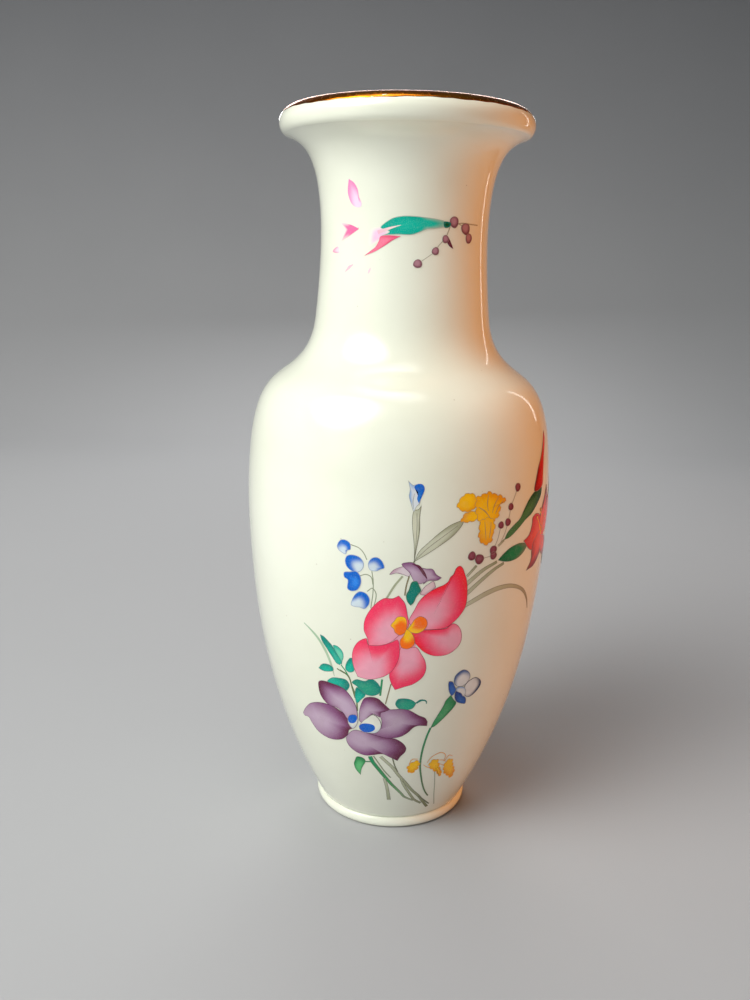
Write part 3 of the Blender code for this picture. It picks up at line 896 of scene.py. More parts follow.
def purple_heart():
    """Two white folds with blue hollows in the middle of the purple flower."""
    heart = Spray(*PURPLE_HEART)
    heart.petal([(1.5, -5), (3.5, -3), (6, -0.8), (8, -2), (9.3, -5), (9, -8), (7, -10.5), (4, -11),
            (1, -10.5), (0, -8.5)], (5, -6), WHITE, shade(srgb(196, 206, 214), -90.0, 0.6, 0.6), layer=10,
            line=INK)
    heart.petal([(0, -8), (1.5, -6.3), (4, -5.8), (6.3, -6.5), (6.6, -8.5), (4.5, -10.3), (1.5, -10.4)],
                (3.5, -8), BLUE, shade(HEART_BLUE, 180.0, 0.5), layer=12, line=None)
    heart.petal([(-4.8, -5), (-3.6, -2.6), (-1.2, -2), (-0.2, -4.5), (-1.2, -8), (-2.8, -9.8),
            (-4.5, -8)], (-2.6, -6), WHITE, shade(srgb(200, 206, 212), -90.0, 0.5), layer=10, line=INK)
    heart.petal([(-3.6, -2.8), (-1.2, -2.2), (-0.6, -4), (-2, -6.5), (-4, -6.8), (-4.6, -5)],
            (-2.5, -4.5), BLUE, shade(HEART_BLUE, 90.0, 0.5), layer=12, line=None)
    heart.piece("purple_flower_heart", "blue_enamel")


def lilac_flower():
    """A small half-open flower seen from the side."""
    bloom = Spray(*SPRAY_TOP)
    bloom.petal([(0, -9.5), (1.5, -7.5), (4, -6.3), (6, -6), (8, -8), (7.5, -10), (5, -9.3), (2.5, -8.8)],
            (4.5, -8), srgb(214, 200, 206), shade(srgb(190, 150, 170), 180.0, 0.4), layer=3, **LILAC_EDGE)
    bloom.petal([(12, -17.5), (13.5, -14.5), (15.5, -13), (17, -12.2), (18, -14.8, SHARP), (16, -16.5),
            (14, -18, SHARP)], (15, -15), srgb(222, 196, 198), shade(srgb(204, 160, 172), -60.0, 0.4),
            layer=3, **LILAC_EDGE)
    bloom.petal([(11.5, -6.5), (14, -7), (16.5, -7.3), (18, -9.5), (20.2, -11, SHARP), (18.5, -12),
            (15, -12), (13, -13.3), (14, -11), (13, -8.5)], (15, -10), LILAC, shade(MAUVE, 0.0, 0.5),
            layer=4, **LILAC_EDGE)
    bloom.petal([(4.5, -5), (7, -4.3), (9, -4.5), (11.5, -6.5), (13.5, -9), (14.5, -11.5), (12.5, -13),
            (10, -13), (9, -11.5), (7.5, -8.5), (5.5, -6.5)], (9, -8.5), LILAC,
            shade(MAUVE, 90.0, 0.4, 0.1), layer=5, **LILAC_EDGE)
    bloom.stroke([(8.5, -5), (11, -6), (13.5, -9.5), (14.3, -11)], [0.2, 1.1, 1.2, 0.3], [PLUM], layer=6)
    bloom.piece("lilac_flower_enamel", "purple_enamel", "lilac_flower")


def daffodil():
    """A ruffled yellow flower seen from the side, with two loose lobes."""
    bloom = Spray(*SPRAY_RIGHT)
    edge_line = faded(srgb(190, 136, 26), 0.85)
    for layer, focus, amber, ruffle, outline in (
            (3, (-18, 11.5), (-60.0, 0.5), 0.2, [(-22.8, 11), (-21.5, 13.8), (-19.5, 15.5),
             (-16.5, 15.7), (-14.5, 14), (-14.3, 11.5), (-15.5, 9.5), (-18, 8.5), (-20.5, 9)]),
            (3, (-16.5, 6.5), (180.0, 0.4), 0.2, [(-21, 5), (-19.5, 8), (-17, 8.7), (-14.5, 8.5),
             (-13, 6), (-16, 4.6)]),
            (4, (-8.5, 9), (60.0, 0.5, 0.3), 0.35, [(-14.5, 13.8), (-11.5, 14.8), (-8.5, 15.5),
             (-5.5, 14.2), (-3, 13.5), (-0.5, 11.8), (0, 10.5), (-2.5, 10.2), (-3, 7.5), (-4, 5),
             (-7, 3.2), (-10, 2.8), (-12.5, 3), (-13.8, 5.5), (-14.8, 8.5)]),
            (5, (-9, 0.5), (-100.0, 0.4), 0.3, [(-12.5, 4.5), (-8, 5.4), (-6, 3.6), (-5.3, 0.5),
             (-6.3, -1.8), (-6.3, -3.8), (-8.5, -5.5), (-11, -5), (-13, -2.5), (-13, 0.5)])):
        bloom.petal(outline, focus, YELLOW, shade(AMBER, *amber), layer=layer, line=edge_line,
                    ruffle=ruffle)
    bloom.stroke([(-13.5, 10), (-10.5, 8), (-8, 5.2)], [0.3, 0.6, 0.2], [edge_line], layer=6)
    for fold in ([(-4, 13), (-6, 10), (-7, 7)], [(-9, 14.5), (-9.5, 11), (-9, 8)],
                 [(-1.5, 11.3), (-4, 9), (-5.5, 6.5)], [(-10.5, 4), (-10, 0), (-9.5, -3.5)],
                 [(-7.5, 3.5), (-7.6, 0), (-8, -3)]):
        bloom.stroke(fold, [0.2, 0.4, 0.2], [edge_line], layer=6)
    bloom.piece("daffodil_enamel", "yellow_enamel", "daffodil")


def red_lily():
    """A long bud and an open lily on the right side, red shading to orange."""
    bloom = Spray(*LILY_HEART)
    flame = srgb(232, 72, 10)
    bloom.petal([(-10, 17.5), (-8.5, 22), (-6, 26.5), (-3, 30), (-1, 32.5), (2, 37), (4, 40, SHARP),
            (4.5, 37), (1.5, 31), (0.5, 27), (-0.5, 22), (-1, 18.5), (-5, 17)], (-3.5, 22), RED,
            shade(RED_DARK, 170.0, 0.2, 0.2), shade(flame, 20.0, 0.1, 0.3), layer=5)
    for layer, focus, paint, angle, spread, outline in (
            (4, (-5, 0), RED, 150.0, 0.3, [(-17, -2, SHARP), (-13, -0.3), (-11, 3), (-10.5, 6.5),
             (-7, 7.5), (-3, 6), (0, 2), (2, -3), (-3, -7), (-8, -8), (-12, -6.5)]),
            (5, (-2, -7), RED_DARK, -110.0, 0.2, [(-8, -4), (-9, -8), (-8.5, -11), (-9.5, -14),
             (-12, -16, SHARP), (-5, -15.5), (0, -13), (4, -8), (5, -3), (0, -1)]),
            (4, (8, 3), RED, 30.0, 0.3, [(0, 0), (3, 6), (9, 10), (15, 11), (20, 10, SHARP), (18, 5),
             (14, 1), (8, -3), (3, -4)]),
            (5, (6, -9), RED_DARK, -40.0, 0.3, [(1, -4), (6, -5), (12, -8), (17, -14, SHARP), (11, -15),
             (5, -13), (1, -9)]),
            (6, (3, 7), RED_DARK, 80.0, 0.2, [(-3, 3), (0, 9), (4, 14), (6, 17, SHARP), (8, 12), (6, 6),
             (2, 0)])):
        bloom.petal(outline, focus, flame, shade(paint, angle, spread, 0.1), layer=layer)
    for tip in ((-6, 5.5), (-2, 8), (4, 4)):
        bloom.stroke([(0, -3), (0.5 * tip[0], 0.5 * tip[1] - 0.8), tip], [0.3], [YELLOW], layer=8)
        bloom.berry(tip[0], tip[1], 0.8, YELLOW, AMBER, layer=9)
    bloom.piece("red_lily_enamel", "red_enamel", "red_lily")


def bluebells():
    """Five small bells: four pale with blue rims, one blue all over."""
    pale = srgb(206, 222, 230)
    bloom = Spray(*SPRAY_TOP)
    line = srgb(60, 110, 180, 0.7)
    for layer, focus, light, angle, spread, full, outline in (
            (4, (-18, -1), pale, 60.0, 0.1, 0.65, [(-20.8, 0.5), (-19.5, 2.8), (-17.5, 3.2), (-15.5, 2),
             (-15.3, -0.5), (-16.5, -1), (-17.2, -2.6), (-18.5, -2.2), (-20.3, -1)]),
            (4, (-12.5, -7), pale, 150.0, 0.1, 0.65, [(-17.5, -5), (-16.5, -3), (-14, -2.5),
             (-11.5, -3.3), (-10, -5.5), (-10.5, -8), (-12.5, -9.5), (-15, -9), (-16.8, -7.5)]),
            (5, (-13, -13), srgb(40, 130, 224), 120.0, 0.6, 0.6, [(-17.8, -10), (-15.5, -9.5),
             (-13, -9), (-11.2, -11), (-11, -14), (-12.5, -16.8), (-15, -17.5), (-16.5, -16.5),
             (-16.3, -13), (-17.8, -12)]),
            (4, (-12, -22), pale, 60.0, 0.1, 0.65, [(-14.8, -22), (-13.5, -19), (-11.5, -17.3),
             (-9, -17.8), (-7.5, -20), (-7.8, -22.5), (-9.5, -24.5), (-11.5, -24), (-13, -24),
             (-14.8, -23.5)]),
            (4, (-6, -6.5), pale, 50.0, 0.1, 0.7, [(-8.3, -5.5), (-7, -3.3), (-5, -2.7), (-3, -4),
             (-2, -6.8), (-3.5, -7.5), (-5, -8.3), (-7.5, -8)])):
        bloom.petal(outline, focus, light, shade(BLUE, angle, spread, 0.1, full), layer=layer, line=line)
    bloom.piece("bluebells_enamel", "blue_enamel", "bluebells")


def iris_bud():
    """A pointed pale bud with one deep blue side."""
    bud = Spray(*SPRAY_TOP)
    bud.petal([(6, 27.5, SHARP), (6.8, 24), (6.5, 21.5), (7.2, 19), (8.5, 15.5), (9.5, 17.5),
            (10.5, 18.5), (11, 21), (12, 23.5), (11.5, 25.2), (9.5, 26), (8, 25.7)], (9, 20),
            srgb(214, 222, 226), shade(BLUE_SOFT, 160.0, 0.1, 0.35), layer=4, line=faded(NAVY, 0.55))
    bud.petal([(8.4, 24.9), (9.5, 26), (11.5, 25.9), (12.3, 24.2), (11.6, 22), (10.3, 18.8, SHARP),
            (9.6, 20.5), (9.9, 23)], (10.2, 21), srgb(40, 120, 204), shade(BLUE, 60.0, 0.3, 0.1, 0.6),
            layer=5, line=None)
    bud.stroke([(8.4, 16.5), (8.1, 19.5), (8.6, 22.5)], [0.15, 0.3, 0.15], [faded(NAVY, 0.6)], layer=5)
    bud.piece("iris_bud_enamel", "blue_enamel", "iris_bud")


def tulip_bud():
    """A cluster of pale and deep blue petals low on the right."""
    pale = srgb(222, 226, 226)
    bud = Spray(*LOW_RIGHT)
    for layer, focus, light, rim, ink, outline in (
            (4, (8, 35), pale, shade(srgb(44, 84, 150), 120.0, 0.4, 0.35, 0.9), 0.85, [(4.5, 35),
             (5, 38), (8, 40), (10.5, 39), (12, 36.5), (11.5, 34), (9, 32), (6, 32.5)]),
            (5, (14, 30), pale, shade(NAVY, -20.0, 0.3, 0.35, 0.85), 0.9, [(10, 32), (12, 34),
             (15, 34.8), (18, 32.5), (18.3, 30), (16, 27), (13, 25.5), (11, 26.5), (10, 29)]),
            (5, (4, 31), srgb(50, 106, 190), shade(srgb(16, 60, 150), 150.0, 0.5, 0.1), 0.8,
             [(2.2, 35.3), (4, 35), (5, 33), (6, 30.5), (4.5, 28), (3.5, 29), (2.5, 31.5)]),
            (6, (9, 25), srgb(44, 96, 180), shade(srgb(10, 46, 130), 120.0, 0.5, 0.1), 0.8, [(6, 30),
             (8.5, 29), (10.5, 26.5), (11.5, 25), (11.5, 22.5), (9.5, 23), (7, 24.5), (5.8, 27)]),
            (7, (8.5, 30), pale, shade(BLUE_SOFT, 90.0, 0.4), 0.6, [(6, 31.5), (8, 32), (10, 31),
             (11, 28.5), (10, 26.5), (8.5, 28.5), (6.3, 30)])):
        bud.petal(outline, focus, light, rim, layer=layer, line=faded(NAVY, ink))
    bud.piece("tulip_bud_enamel", "blue_enamel", "tulip_bud")


def yellow_florets():
    """Three ruffled yellow florets with loose loops of line round them."""
    bloom = Spray(*LOW_RIGHT)
    line = faded(AMBER, 0.9)
    for focus, angle, outline in (
            ((-7.5, -9), -90.0, [(-10, -10), (-9, -7.5), (-7, -6), (-5.2, -6.5), (-5, -10), (-6.5, -13),
             (-8.5, -13.5)]),
            ((2.5, -10), -60.0, [(-0.5, -9.5), (0.5, -7), (3, -6.8), (4, -9), (5, -12), (7, -17.5),
             (6, -18.5), (4, -15.5), (1, -12.5)]),
            ((10, -13), -80.0, [(7, -11.5), (9, -8.5), (11, -9.5), (12, -13), (14, -18), (13, -22.5),
             (10.5, -20), (8, -17)])):
        bloom.petal(outline, focus, YELLOW, shade(AMBER, angle, 0.4), layer=4, line=line, ruffle=0.3)
    for loop in ([(-1.5, -8), (-0.5, -5.5), (1, -4), (4, -3), (6.5, -5), (6.5, -9)],
                 [(6.8, -9), (8.5, -6), (10.5, -7)], [(-9.5, -8), (-8.5, -5), (-6, -5)],
                 [(0.5, -8), (2, -10), (4, -14)], [(9.5, -11), (10.5, -14), (12, -18)],
                 [(-8, -7.5), (-7.2, -9.5), (-7, -12)], [(3.5, -7.5), (6, -8.2), (8, -10)],
                 [(4.5, -10), (7, -12), (9, -15.5)], [(-3, -9), (-1.5, -10.5), (1, -12)]):
        bloom.stroke(loop, [0.2, 0.35, 0.2], [line], layer=3)
    bloom.piece("yellow_florets", "yellow_enamel")


def leaves_round_purple_flower(leaves):
    for outline, focus, light, angle in (
            ([(-17, 17.5, SHARP), (-15, 20), (-12, 20.5), (-10, 19.5), (-10, 18), (-12.5, 17),
              (-15, 16.8)], (-13, 18.5), TEAL_LIGHT, 100.0),
            ([(-4.5, 20), (-4, 23), (-2.5, 25.5, SHARP), (-1, 25.5), (-0.5, 22), (-1, 19.5), (-3, 18.7)],
             (-2.5, 21.5), TEAL_LIGHT, 90.0),
            ([(-13, 12), (-11, 14.3), (-8, 15), (-4.5, 14.8), (-3, 12.5), (-4, 10), (-5, 9.3), (-8, 11)],
             (-9, 12.8), TEAL_LIGHT, 0.0),
            ([(0, 12), (-1, 8), (-0.3, 4), (1.5, 6), (3.5, 9)], (0.8, 8), TEAL_LIGHT, 90.0),
            ([(-2, 14), (0, 15.8), (3.5, 15.5), (6, 17), (8.5, 15.3), (9.8, 12.5), (9, 10), (6.5, 8.7),
              (3.5, 9), (1.5, 11), (0, 12.5)], (4, 12.5), LEAF_TEAL, 60.0),
            ([(15.5, 5), (16.5, 7.5), (19, 8), (22, 7.3), (24, 5.5, SHARP), (22.5, 3), (20, 2.2),
              (17, 2.7)], (19, 5), LEAF_TEAL, 120.0)):
        leaves.petal(outline, focus, light, shade(TEAL, angle, 0.35, 0.1), layer=3, **TEAL_EDGE)
    leaves.stroke([(24, 5.5), (26, 6.8), (28, 6.3), (28.2, 4.8)], [0.6, 0.9, 0.6, 0.2], [TEAL], layer=3)


def leaves_on_the_left(leaves):
    leaves.at(*SPRAY_LEFT)
    leaves.petal([(3.5, 5.5), (5.5, 5.5), (7.5, 3.5), (7.8, 1), (7, -1.5), (6.8, -3, SHARP)], (6, 2),
                 srgb(110, 200, 170), shade(TEAL_LIGHT, 90.0, 0.5), layer=2, **TEAL_EDGE)
    leaves.petal([(-2.2, 9.2, SHARP), (-0.5, 8.7), (1.5, 7), (3, 5.5), (4.5, 3), (6, 0.5), (6.8, -1.5),
                  (6, -3, SHARP), (4.5, -2.5), (2.5, 0.5), (0.5, 3.5), (-1.5, 6.5)], (4.5, 0), TEAL_LIGHT,
                 shade(TEAL, 130.0, 0.2, 0.1), layer=3, **TEAL_EDGE)
    leaves.stroke([(-10, 12.5), (-7, 10.5), (-4, 8), (-2, 5.5), (0, 2), (1.5, -2), (2.5, -6), (3, -9)],
                  [0.3, 1.0, 1.2, 1.0, 0.3], [srgb(150, 186, 150), srgb(176, 196, 170)], layer=1)


def leaf_at_the_foot(leaves):
    leaves.at(*SPRAY_FOOT)
    leaves.petal([(-10.2, 16), (-9.5, 18), (-8, 18.4), (-6.3, 17.8), (-5.5, 16.2), (-6.3, 14),
            (-7.3, 11.5), (-7.8, 9), (-8, 6.8, SHARP), (-9.3, 8.5), (-10.3, 10.5), (-10.8, 13.5)],
            (-8.3, 12.5), srgb(96, 190, 120), shade(srgb(0, 130, 70), 90.0, 0.6, 0.2), layer=3,
            **LEAF_EDGE)


def leaves_at_the_top(leaves):
    leaves.at(*SPRAY_TOP)
    leaves.petal([(8.5, 16), (8, 12.5), (8.3, 8), (8.8, 4), (9.1, 0), (9.2, -4.5, SHARP), (9.8, 0),
            (10.6, 5), (11, 9), (10.8, 13), (11.3, 18, SHARP), (10.2, 16.5)], (9.6, 9),
            srgb(196, 198, 170, 0.7), shade(srgb(140, 146, 112, 0.9), 0.0, 0.4), layer=3, **STEM_EDGE)
    leaves.petal([(9.2, -4.2, SHARP), (11, 0), (14.5, 3.5), (18.5, 7), (23, 10), (29, 12, SHARP),
            (27.3, 9), (24, 5.5), (19, 2), (14, -1.2), (11, -3)], (18, 4), srgb(194, 200, 172, 0.7),
            shade(srgb(152, 158, 124, 0.9), 30.0, 0.5), layer=2, **STEM_EDGE)
    leaves.stroke([(10, -3), (14, 1), (19, 4.8), (26, 9.6)], [0.2], [faded(STEM_DARK, 0.8)], layer=4)
    leaves.stroke([(9.4, -2), (9.7, 4), (9.9, 10), (9.7, 15)], [0.2], [faded(STEM_DARK, 0.8)], layer=4)
    leaves.petal([(8.5, -12.5), (10.5, -12), (11.5, -14), (12.2, -16), (10.5, -18.5), (9.5, -21),
                  (8.3, -22.2, SHARP), (7, -20.5), (6.5, -18), (7.5, -15.5)], (9, -17), TEAL,
                 shade(srgb(0, 120, 96), 90.0, 0.6), layer=6, **LEAF_EDGE)


def leaves_on_the_right(leaves):
    leaves.at(*SPRAY_RIGHT)
    leaves.petal([(-2.5, -13, SHARP), (0, -11), (4, -9), (9, -8.3), (13, -8.8), (16, -10.5, SHARP),
            (14, -12.5), (10, -14.3), (5, -14.8), (1, -14.2)], (6, -11.5), srgb(20, 130, 70),
            shade(srgb(0, 100, 52), 180.0, 0.5), shade(LEAF_OLIVE, 0.0, 0.0, 0.5), layer=3, **LEAF_EDGE)
    leaves.petal([(0, -5, SHARP), (2, -2), (6, 0.5), (9, 2), (12, 5.5), (15, 8.5), (19, 10.8), (24, 11.8),
            (28, 13, SHARP), (27, 8.5), (23, 5.5), (18, 2.5), (13, 0.8), (8, -2), (3, -4.5)], (12, 2.5),
            srgb(70, 126, 70), shade(srgb(0, 72, 30), 30.0, 0.3), layer=3, **LEAF_EDGE)


def leaves_round_lily(leaves):
    leaves.at(*LILY_HEART)
    for outline, focus in (
            ([(10, -12, SHARP), (16, -16), (24, -17), (32, -14, SHARP), (26, -21), (18, -22), (12, -18)],
             (20, -18)),
            ([(14, 12, SHARP), (20, 18), (27, 22), (35, 24, SHARP), (30, 17), (23, 12), (17, 10)],
             (23, 16))):
        leaves.petal(outline, focus, srgb(60, 130, 76), shade(LEAF_DARK, 20.0, 0.4), layer=3,
                     **LEAF_EDGE)


def leaf_low_on_the_right(leaves):
    leaves.at(*LOW_RIGHT)
    leaves.petal([(4, 28.5, SHARP), (2, 26), (1, 23), (-0.5, 19.5), (-2, 16), (-3, 12.5, SHARP),
            (-1.5, 13), (1, 15.5), (4, 19), (6.3, 22), (7, 24), (5.5, 26)], (2.5, 20), srgb(70, 164, 104),
            shade(srgb(0, 118, 66), 0.0, 0.4, 0.1), layer=3, **LEAF_EDGE)


def spray_leaves():
    """Every leaf and calyx of the front spray."""
    leaves = Spray(*PURPLE_HEART)
    leaves_round_purple_flower(leaves)
    leaves_on_the_left(leaves)
    leaf_at_the_foot(leaves)
    leaves_at_the_top(leaves)
    leaves_on_the_right(leaves)
    leaves_round_lily(leaves)
    leaf_low_on_the_right(leaves)
    leaves.piece("spray_leaves", "green_enamel")


def stems_round_purple_flower(stems):
    for points, widths, paints in (
            ([(-7, 19), (-3.5, 17), (-2, 12), (-0.5, 7), (-0.3, 0)], [0.6], [LEAF_OLIVE]),
            ([(10.5, 17), (10, 13), (9.5, 9)], [0.8], [STEM_GREEN]),
            ([(14, 15), (12.5, 9), (11.5, 5)], [0.5], [STEM_BROWN])):
        stems.stroke(points, widths, paints)


def stems_on_the_left(stems):
    stems.at(*SPRAY_LEFT)
    stems.stroke([(4.5, -5), (6.5, -6), (8.5, -7), (9.8, -9), (10.3, -12), (11.3, -18)], [0.5],
            [LEAF_OLIVE])
    stems.stroke([(6.5, -3), (8, -5), (9, -7)], [0.5], [STEM_GREEN])


def stems_at_the_foot(stems):
    stems.at(*SPRAY_FOOT)
    for points, widths, paints in (
            ([(-5.5, 16), (-3.5, 16.3)], [0.5], [STEM_GREEN]),
            ([(-3.5, 19.5), (-2.5, 16.5), (0, 12), (2.5, 7.5), (5, 3), (7.5, -1), (9.5, -4.5),
              (10.5, -6.5), (14.5, -10)], [1.8, 1.6, 1.2, 0.8],
             [srgb(20, 140, 92), srgb(70, 156, 92), STEM_GREY]),
            ([(-2, 20), (0, 16), (2.5, 11), (5, 7)], [0.4], [srgb(160, 180, 140)]),
            ([(1, 20), (3, 17.5), (6, 13.5), (8.5, 8.5), (11, 4), (14, -2), (17, -7), (19, -12),
              (21, -17)], [1.3], [srgb(186, 192, 164), STEM_GREY, srgb(124, 128, 88)]),
            ([(9.5, 6), (10.5, 2), (12, -2), (13.5, -6), (15, -9.5), (18, -13)], [1.1],
             [srgb(186, 192, 164), srgb(140, 144, 108)]),
            ([(2.2, 6.5), (3, 2), (3.5, -3), (3.8, -8.8)], [1.1, 1.5],
             [srgb(190, 196, 170), STEM_GREY]),
            ([(6, 19.5), (6.8, 15), (8, 11)], [0.4], [LEAF_OLIVE]),
            ([(17, -7), (19.5, -11), (22, -15)], [0.6], [LEAF_OLIVE])):
        stems.stroke(points, widths, paints, layer=2, line=faded(STEM_DARK, 0.85))


def stems_at_the_top(stems):
    stems.at(*SPRAY_TOP)
    for points in ([(-15.3, 1.5), (-12, 0.5), (-10, -1.5), (-8.8, -4)],
                   [(-6.8, -8.5), (-6.2, -13), (-6.3, -18), (-7, -24)],
                   [(-11.5, -10.8), (-9, -10), (-7, -11), (-6.3, -14)],
                   [(-8.5, -17), (-6.5, -15.5), (-5, -18), (-6, -24)]):
        stems.stroke(points, [0.35], [faded(LEAF_OLIVE, 0.8)])
    stems.stroke([(9.2, -4), (8.8, -5.5), (8.6, -7)], [0.6], [STEM_GREY])
    stems.stroke([(7.5, -10), (6.5, -14), (6, -18)], [0.6], [STEM_BROWN])
    stems.stroke([(5, -10), (2, -14), (-1, -19.5)], [0.8], [STEM_GREY])


def stems_on_the_right(stems):
    stems.at(*SPRAY_RIGHT)
    for points, widths in (([(-17, -17.5), (-15, -15.5), (-13, -13.5)], [0.9]),
                           ([(-18, -21.5), (-10, -16), (-3, -13.5)], [1.7, 1.5, 1.0]),
                           ([(-18, -26), (-10, -20), (-4, -16.5), (1, -14.8)], [1.7, 1.6, 1.4, 1.0]),
                           ([(-3, -7), (-1.5, -6), (0, -5)], [0.8])):
        stems.stroke(points, widths, [srgb(192, 198, 172), srgb(150, 160, 124)],
                     line=faded(STEM_DARK, 0.85))
    stems.stroke([(-18, -30.5), (-10, -27.2), (-5, -25.8), (0, -25.2), (6, -25.7), (12, -27.7),
            (17.5, -31), (22, -36), (24.5, -41)], [1.4, 1.8, 2.0, 1.9, 1.6, 1.4, 1.3, 1.0, 0.3],
            [srgb(192, 198, 172), srgb(180, 182, 150), srgb(140, 128, 90)], line=faded(STEM_DARK, 0.85))
    twig = faded(srgb(120, 100, 80), 0.7)
    for points in ([(-5.5, -8.2), (-3.5, -4), (-2.2, 1.4)], [(1.6, 2), (0.5, -1.5), (-2, -6)],
                   [(3, 8), (2.4, 5), (1.6, 2)], [(7, 15.2), (5, 11.5), (3, 8)],
                   [(-15.5, -9.3), (-12, -11), (-9, -10.8), (-5.2, -10.5)]):
        stems.stroke(points, [0.25], [twig])


def stems_low_on_the_right(stems):
    stems.at(*LOW_RIGHT)
    stems.stroke([(-3, 12.5), (-4, 8), (-4.7, 2), (-4.8, -5), (-4.3, -10), (-3, -16), (-1, -23), (1, -28),
                  (3, -31.5)], [0.9, 0.7], [STEM_GREEN, LEAF_OLIVE], layer=2)
    stems.stroke([(3, -14), (4.5, -22), (6, -31), (8, -40)], [0.4], [faded(LEAF_OLIVE, 0.7)])


def spray_stems():
    """Every stem and twig of the front spray."""
    stems = Spray(*PURPLE_HEART)
    stems_round_purple_flower(stems)
    stems_on_the_left(stems)
    stems_at_the_foot(stems)
    stems_at_the_top(stems)
    stems_on_the_right(stems)
    stems_low_on_the_right(stems)
    stems.piece("spray_stems", "green_enamel")


def spray_berries():
    """Dark red berries on the twigs of the right side."""
    berries = Spray(*SPRAY_RIGHT)
    for right, up, radius in ((-15.5, -9.3, 1.8), (-12, -11, 2.1), (-5.5, -8.2, 1.8), (-5.2, -10.5, 1.7),
                              (-2.2, 1.4, 1.5), (1.6, 2, 1.6), (3, 8, 1.5), (7, 15.2, 1.7)):
        berries.berry(right, up, radius, srgb(140, 66, 84), srgb(104, 30, 40))
    berries.piece("spray_berries", "plum_enamel")


porcelain_shell()
foot_bead()
gilt_band()
neck_petals()
neck_bud()
neck_berries()
pink_flower()
pink_heart()
purple_flower()
purple_heart()
lilac_flower()
daffodil()
red_lily()
bluebells()
iris_bud()
tulip_bud()
yellow_florets()
spray_leaves()
spray_stems()
spray_berries()


# ---------------------------------------------------------------- studio

# Studio lengths, in metres
SWEEP_FRONT = -4.0
SWEEP_BACK = 1.3
SWEEP_BEND = 0.5                          # radius of the curve from floor to wall
SWEEP_TOP = 2.6
SWEEP_HALF_WIDTH = 4.0
CARD_NEAR = -0.7
CARD_FAR = 0.6
CARD_TOP = 0.9
CARD_RIGHT = 0.58
BELLY = (0.0, 0.0, 0.17)                  # places on the vase's axis that lights aim at
LOW_NECK = (0.0, 0.0, 0.24)
HIGH_NECK = (0.0, 0.0, 0.26)
LIP = (0.0, 0.0, 0.30)
FEATHER_PEAK = 3.6                        # brightness at the middle of a feathered softbox
WHITE_LIGHT = (1.0, 1.0, 1.0)
SOFT_WHITE_LIGHT = (1.0, 1.0, 0.97)
WORLD_LIGHT = (0.93, 0.95, 1.0, 1.0)
WORLD_STRENGTH = 0.06

# Camera, fitted to the photo's outline of the vase
CAMERA_PLACE = (0.0, -0.3987, 0.2465)
SENSOR_HEIGHT = 36.0                      # millimetres
LENS = 33.27                              # millimetres
LOOK_LEFT = 1.437                         # degrees
LOOK_DOWN = 14.584
ROLL = 1.109


def studio_paper():
    """Pale matt paper on the floor, greyer up the wall."""
    made, nodes = material("studio_paper")
    place = nodes.place()
    height = nodes.add("ShaderNodeSeparateXYZ", {"Vector": place}).outputs["Z"]
    uneven = nodes.maths("MULTIPLY", nodes.noise(place, scale=3.0, detail=3.0), 0.1)
    climb = nodes.span(nodes.maths("ADD", height, uneven), 0.05, 0.9)
    nodes.surface({"Base Color": nodes.mix(climb, PAPER_LIGHT, PAPER_DARK), "Roughness": 0.8})
    return made


def sweep():
    """A pale floor that curves up into a plain grey wall behind the vase."""
    floor_end = SWEEP_BACK - SWEEP_BEND
    section = [(SWEEP_FRONT, 0.0), (floor_end, 0.0)]
    section += [(floor_end + SWEEP_BEND * math.sin(t), SWEEP_BEND * (1 - math.cos(t)))
                for t in np.linspace(0.0, math.pi / 2, 25)[1:]]
    section.append((SWEEP_BACK, SWEEP_TOP))
    points = [(x, y, z) for x in (-SWEEP_HALF_WIDTH, SWEEP_HALF_WIDTH) for y, z in section]
    count = len(section)
    faces = [(i, count + i, count + i + 1, i + 1) for i in range(count - 1)]
    mesh = bpy.data.meshes.new("studio_sweep")
    mesh.from_pydata(points, [], faces)
    mesh.shade_smooth()
    mesh.materials.append(studio_paper())
    shown("studio_sweep", mesh)


def softbox(name, place, target, size, power, colour, mirrored=True):
    """A rectangular area light at a place, facing a target. Size is (width, height)."""
    light = bpy.data.lights.new(name, "AREA")
    light.shape = "RECTANGLE"
    light.size, light.size_y = size
    light.energy = power
    light.color = colour
    lamp = bpy.data.objects.new(name, light)
    aim = Vector(target) - Vector(place)
    lamp.matrix_world = Matrix.Translation(place) @ aim.to_track_quat("-Z", "Y").to_matrix().to_4x4()
    lamp.visible_camera = False
    lamp.visible_glossy = mirrored
    bpy.context.scene.collection.objects.link(lamp)
    return lamp


def feathered(lamp):
    """Fades a softbox from its middle to its edges, so that its mirror image in the glaze is soft."""
    lamp.data.use_nodes = True
    nodes = Nodes(lamp.data.node_tree)
    spot = nodes.add("ShaderNodeNewGeometry").outputs["Parametric"]
    part = nodes.add("ShaderNodeSeparateXYZ", {"Vector": spot}).outputs
    across = nodes.maths("SUBTRACT", part["X"], 0.5)
    up = nodes.maths("SUBTRACT", part["Y"], 0.5)
    off = nodes.maths("SQRT", nodes.maths("ADD", nodes.maths("MULTIPLY", across, across),
                                          nodes.maths("MULTIPLY", up, up)))
    nodes.feed(nodes.span(off, 0.5, 0.0, 0.0, FEATHER_PEAK),
               lamp.data.node_tree.nodes["Emission"].inputs["Strength"])


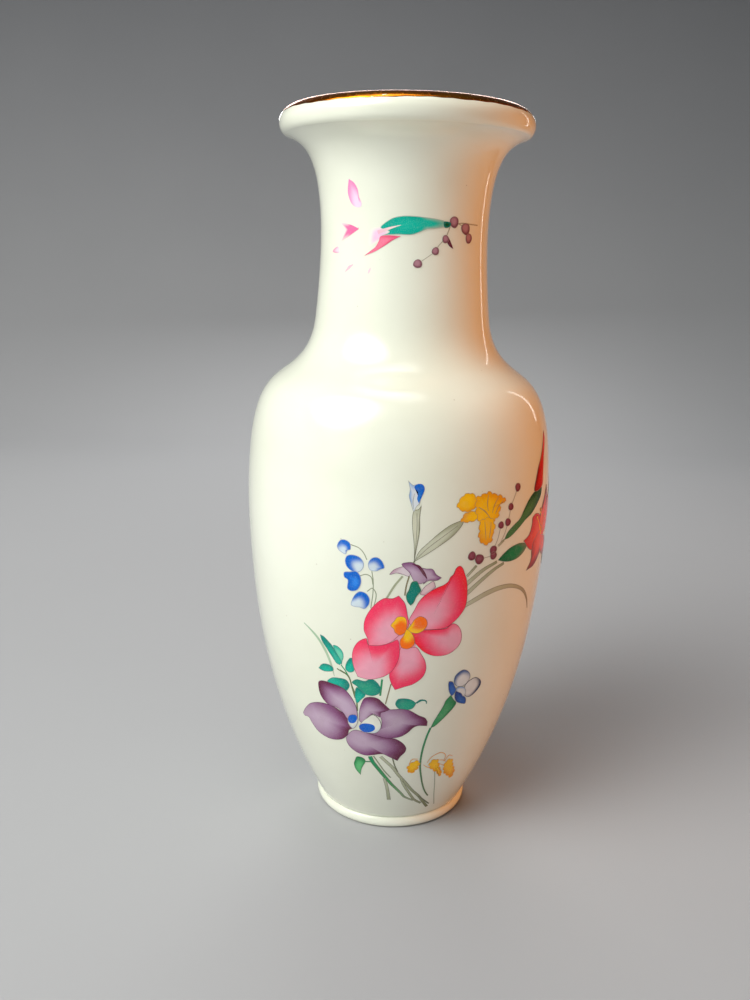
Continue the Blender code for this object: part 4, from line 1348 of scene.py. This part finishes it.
def side_card():
    """A dark brown card beyond the right edge of the view, which deepens the vase's shaded side."""
    corners = [(CARD_RIGHT, CARD_NEAR, 0.0), (CARD_RIGHT, CARD_FAR, 0.0),
               (CARD_RIGHT, CARD_FAR, CARD_TOP), (CARD_RIGHT, CARD_NEAR, CARD_TOP)]
    mesh = bpy.data.meshes.new("side_card")
    mesh.from_pydata(corners, [], [(0, 1, 2, 3)])
    made, nodes = material("side_card")
    nodes.surface({"Base Color": CARD_BROWN, "Roughness": 0.7})
    mesh.materials.append(made)
    card = shown("side_card", mesh)
    card.visible_camera = False


def studio():
    """Paper, card, five lights on everything, two that light the vase only, and a dim sky."""
    sweep()
    feathered(softbox("key_left", (-0.98, -0.76, 1.32), BELLY, (1.7, 1.7), 32.0, SOFT_WHITE_LIGHT))
    feathered(softbox("top", (-0.1, -0.1, 1.6), LIP, (1.4, 0.8), 4.0, (1.0, 0.99, 0.96)))
    softbox("fill_front", (-0.30, -1.0, 0.16), LOW_NECK, (0.6, 0.3), 1.0, WHITE_LIGHT, mirrored=False)
    softbox("strip_right", (0.479, 0.361, 0.383), LIP, (0.014, 0.355), 0.075, (1.0, 0.96, 0.9))
    softbox("crest_back", (-0.05, 1.05, 0.58), LIP, (0.6, 0.26), 3.2, WHITE_LIGHT)
    near = softbox("near_left", (-0.36, -0.46, 0.34), HIGH_NECK, (0.3, 0.3), 1.1, SOFT_WHITE_LIGHT,
                   mirrored=False)
    warm = softbox("warm_right", (0.50, 0.06, 0.25), BELLY, (0.4, 0.5), 2.3, (1.0, 0.33, 0.03),
                   mirrored=False)
    vase = bpy.data.collections.new("vase_only")
    for piece in VASE:
        vase.objects.link(piece)
    for lamp in (near, warm):
        lamp.light_linking.receiver_collection = vase
    side_card()
    world = bpy.data.worlds.new("studio_world")
    world.use_nodes = True
    background = world.node_tree.nodes["Background"].inputs
    background["Color"].default_value = WORLD_LIGHT
    background["Strength"].default_value = WORLD_STRENGTH
    scene = bpy.context.scene
    scene.world = world
    scene.view_settings.view_transform = "Standard"


def camera():
    """The photo's view: close in front, at the height of the neck, looking down a little."""
    data = bpy.data.cameras.new("view")
    data.sensor_fit = "VERTICAL"
    data.sensor_height = SENSOR_HEIGHT
    data.lens = LENS
    eye = bpy.data.objects.new("view", data)
    turn = (Matrix.Rotation(math.radians(LOOK_LEFT), 4, "Z")
            @ Matrix.Rotation(math.radians(90.0 - LOOK_DOWN), 4, "X")
            @ Matrix.Rotation(math.radians(ROLL), 4, "Z"))
    eye.matrix_world = Matrix.Translation(CAMERA_PLACE) @ turn
    bpy.context.scene.collection.objects.link(eye)
    bpy.context.scene.camera = eye


studio()
camera()
